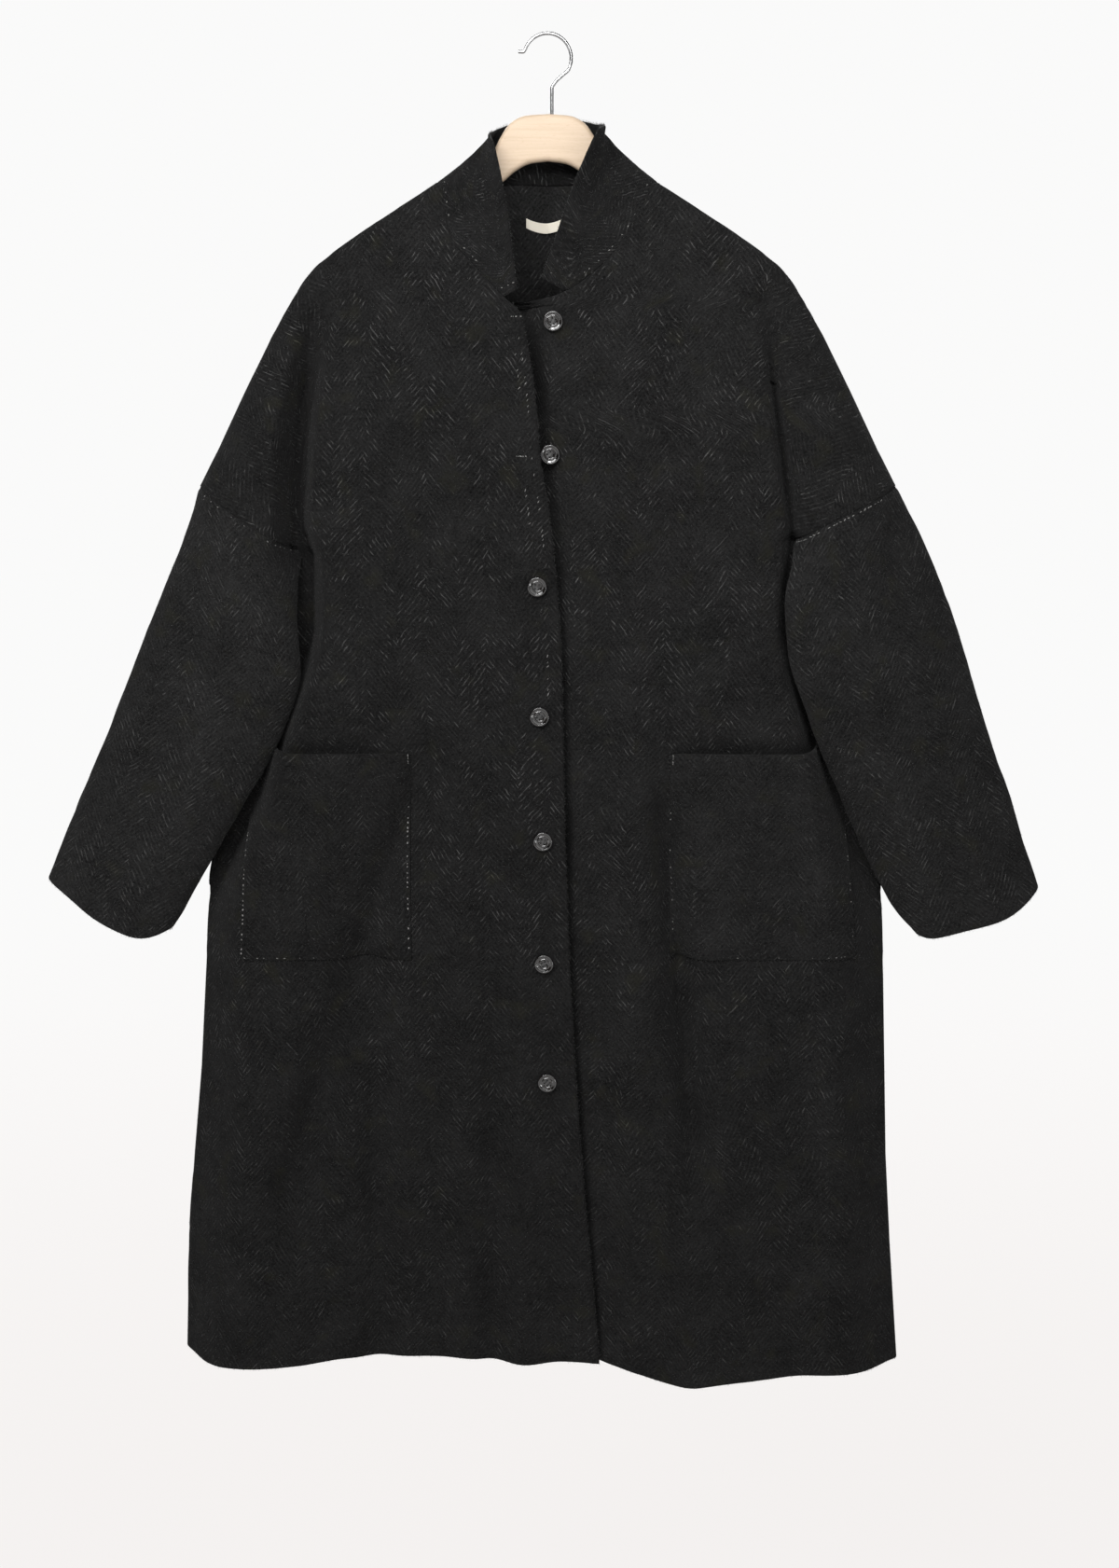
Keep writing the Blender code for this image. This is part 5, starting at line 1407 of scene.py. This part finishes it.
def hairs(name, piece, wanted, seed, finish):
    """Fine loose hairs over a piece's outer face and along its open edges, as one piece."""
    chance = np.random.default_rng(seed)
    corner = piece.outer[:-1, :-1]
    right, down = piece.outer[:-1, 1:] - corner, piece.outer[1:, :-1] - corner
    size = np.linalg.norm(np.cross(right, down), axis=2).ravel()
    cell = chance.choice(size.size, wanted.face, p=size / size.sum())
    share = chance.uniform(0, 1, (2, wanted.face, 1))
    right, down, out = (v.reshape(-1, 3)[cell] for v in (right, down, piece.out[:-1, :-1]))
    at = corner.reshape(-1, 3)[cell] + right * share[0] + down * share[1]
    turn = chance.uniform(0, 2 * math.pi, (wanted.face, 1))
    lean = unit(right) * np.cos(turn) + unit(down) * np.sin(turn)
    ahead = lean + out * chance.uniform(*HAIR_LIFT, (wanted.face, 1)) - (0, 0, HAIR_FALL)
    edge, within = (along_edges(piece.outer, wanted.along, depth) for depth in (0, 1))
    pick = chance.integers(0, len(edge), wanted.edges)
    away, out = unit(edge - within)[pick], along_edges(piece.out, wanted.along)[pick]
    side = np.cross(away, out)
    slide, aside, rise = (chance.uniform(-reach, reach, (wanted.edges, 1)) for reach in HAIR_STRAY)
    rim = edge[pick] + side * slide + CLOTH / 2 * (HAIR_SEAT * away - out)
    at = np.concatenate((at, rim))
    ahead = unit(np.concatenate((ahead, away + side * aside + out * rise)))
    count = len(at)
    length = HAIR_LENGTH[0] + (HAIR_LENGTH[1] - HAIR_LENGTH[0]) * chance.uniform(0, 1, (count, 1)) ** 2
    radius = chance.uniform(*HAIR_RADIUS, (count, 1))
    first = unit(np.cross(ahead, HAIR_ASIDE))
    second = np.cross(ahead, first)
    thirds = np.arange(3) * 2 * math.pi / 3
    foot = [at + radius * (first * math.cos(a) + second * math.sin(a)) for a in thirds]
    points = np.stack(foot + [at + ahead * length], axis=1)
    return joined(name, points, HAIR_FACES, HAIR_PLACES, finish)


def make_camera():
    camera = bpy.data.cameras.new("camera")
    camera.sensor_width = CAMERA_SENSOR
    camera.sensor_fit = "AUTO"
    camera.lens = CAMERA_LENS
    camera.clip_end = CAMERA_FAR
    holder = add_object("camera", camera)
    holder.location = CAMERA_AT
    holder.rotation_euler = (CAMERA_TILT, 0, 0)
    bpy.context.scene.camera = holder


def make_stage():
    """Glowing pale floor far below the hem, with painted shade near its middle, white surroundings and large
    soft lights.
    """
    world = bpy.data.worlds.new("white")
    world.use_nodes = True
    world.node_tree.nodes["Background"].inputs["Color"].default_value = (*SURROUNDINGS, 1)
    bpy.context.scene.world = world
    world.cycles_visibility.diffuse = world.cycles_visibility.glossy = False
    build = bmesh.new()
    bmesh.ops.create_circle(build, cap_ends=True, segments=FLOOR_SIDES, radius=FLOOR_RADIUS)
    mesh = bpy.data.meshes.new("floor")
    build.to_mesh(mesh)
    build.free()
    floor = add_object("floor", mesh)
    floor.location.z = FLOOR_Z
    s = Shader("floor_glow_painted_shade")
    away = s.vector("LENGTH", s.place(), out="Value")
    # Glow darker near the middle, up to the white of the surroundings: painted shade
    glow_with_painted_shade = s.mix(s.span(away, *FLOOR_SHADE_SPAN), FLOOR_PAINTED_SHADE, SURROUNDINGS)
    mesh.materials.append(s.finish(Emission_Color=glow_with_painted_shade, **FLOOR_SURFACE))
    for light in LIGHTS:
        lamp = bpy.data.lights.new(light.name, "AREA")
        lamp.size = light.size
        lamp.energy = light.watts
        holder = add_object(light.name, lamp)
        holder.location = light.at
        holder.rotation_euler = (Vector(light.aim) - Vector(light.at)).to_track_quat("-Z", "Y").to_euler()
        holder.visible_camera = False
    bpy.context.scene.view_settings.view_transform = "Standard"


make_camera()
make_stage()

looks, coat = {}, {}
for seed, (node, look) in enumerate(LOOKS.items(), start=1):
    looks[node] = wool(f"wool_{node}_look", look, seed, node in HEM_SHADED_PIECES)
for side in SIGN:
    for kind, make in (("front", make_front), ("sleeve", make_sleeve), ("pocket", make_pocket)):
        coat[f"{kind}_{side}"] = make(side, looks[f"{kind}_{side}"])
coat["back"] = make_back(looks["back"])
coat["collar"] = collar = make_collar(looks["collar"])
coat["label"] = make_label(tape())

horn_look, sewing_look = horn(), thread("sewing_dark", SEWING_DARK, SEWING_LIGHT)
disc = button_mesh()
for index, (x, z) in enumerate(BUTTONS, start=1):
    make_button(index, x, z, disc, horn_look, sewing_look)
make_bar(beech())
make_hook(steel())

sewn = {"front_right": edge_rows(coat["front_right"])}
for side, seed in ARM_SEED.items():
    sleeve, ring = coat[f"sleeve_{side}"], slice(0, RING_FRONT + 1)
    line = sleeve.outer[ARMHOLE_ROW, ring], sleeve.out[ARMHOLE_ROW + 1, ring]
    sewn[f"sleeve_{side}"] = [stitch_row(*line, ARMHOLE_STITCH[side], seed, *ARMHOLE_SEWN[side])]
    sewn[f"pocket_{side}"] = pocket_rows(side, coat[f"pocket_{side}"], seed + 1)
sewn["collar"] = [stitch_row(collar.outer[NECK_ROW], collar.out[NECK_ROW], NECK_STITCH, NECK_SEED)]
stitch_look = thread("sewing_light", STITCH_DARK, STITCH_LIGHT)
hair_look = thread("wool_hair", HAIR_DARK, HAIR_LIGHT)
extras = {node: [] for node in coat}
for node, rows in sewn.items():
    extras[node].append(stitches(f"coat_stitches_{node}", rows, stitch_look))
for seed, (node, wanted) in enumerate(HAIRS.items(), start=HAIR_SEED):
    extras[node].append(hairs(f"coat_hairs_{node}", coat[node], wanted, seed, hair_look))
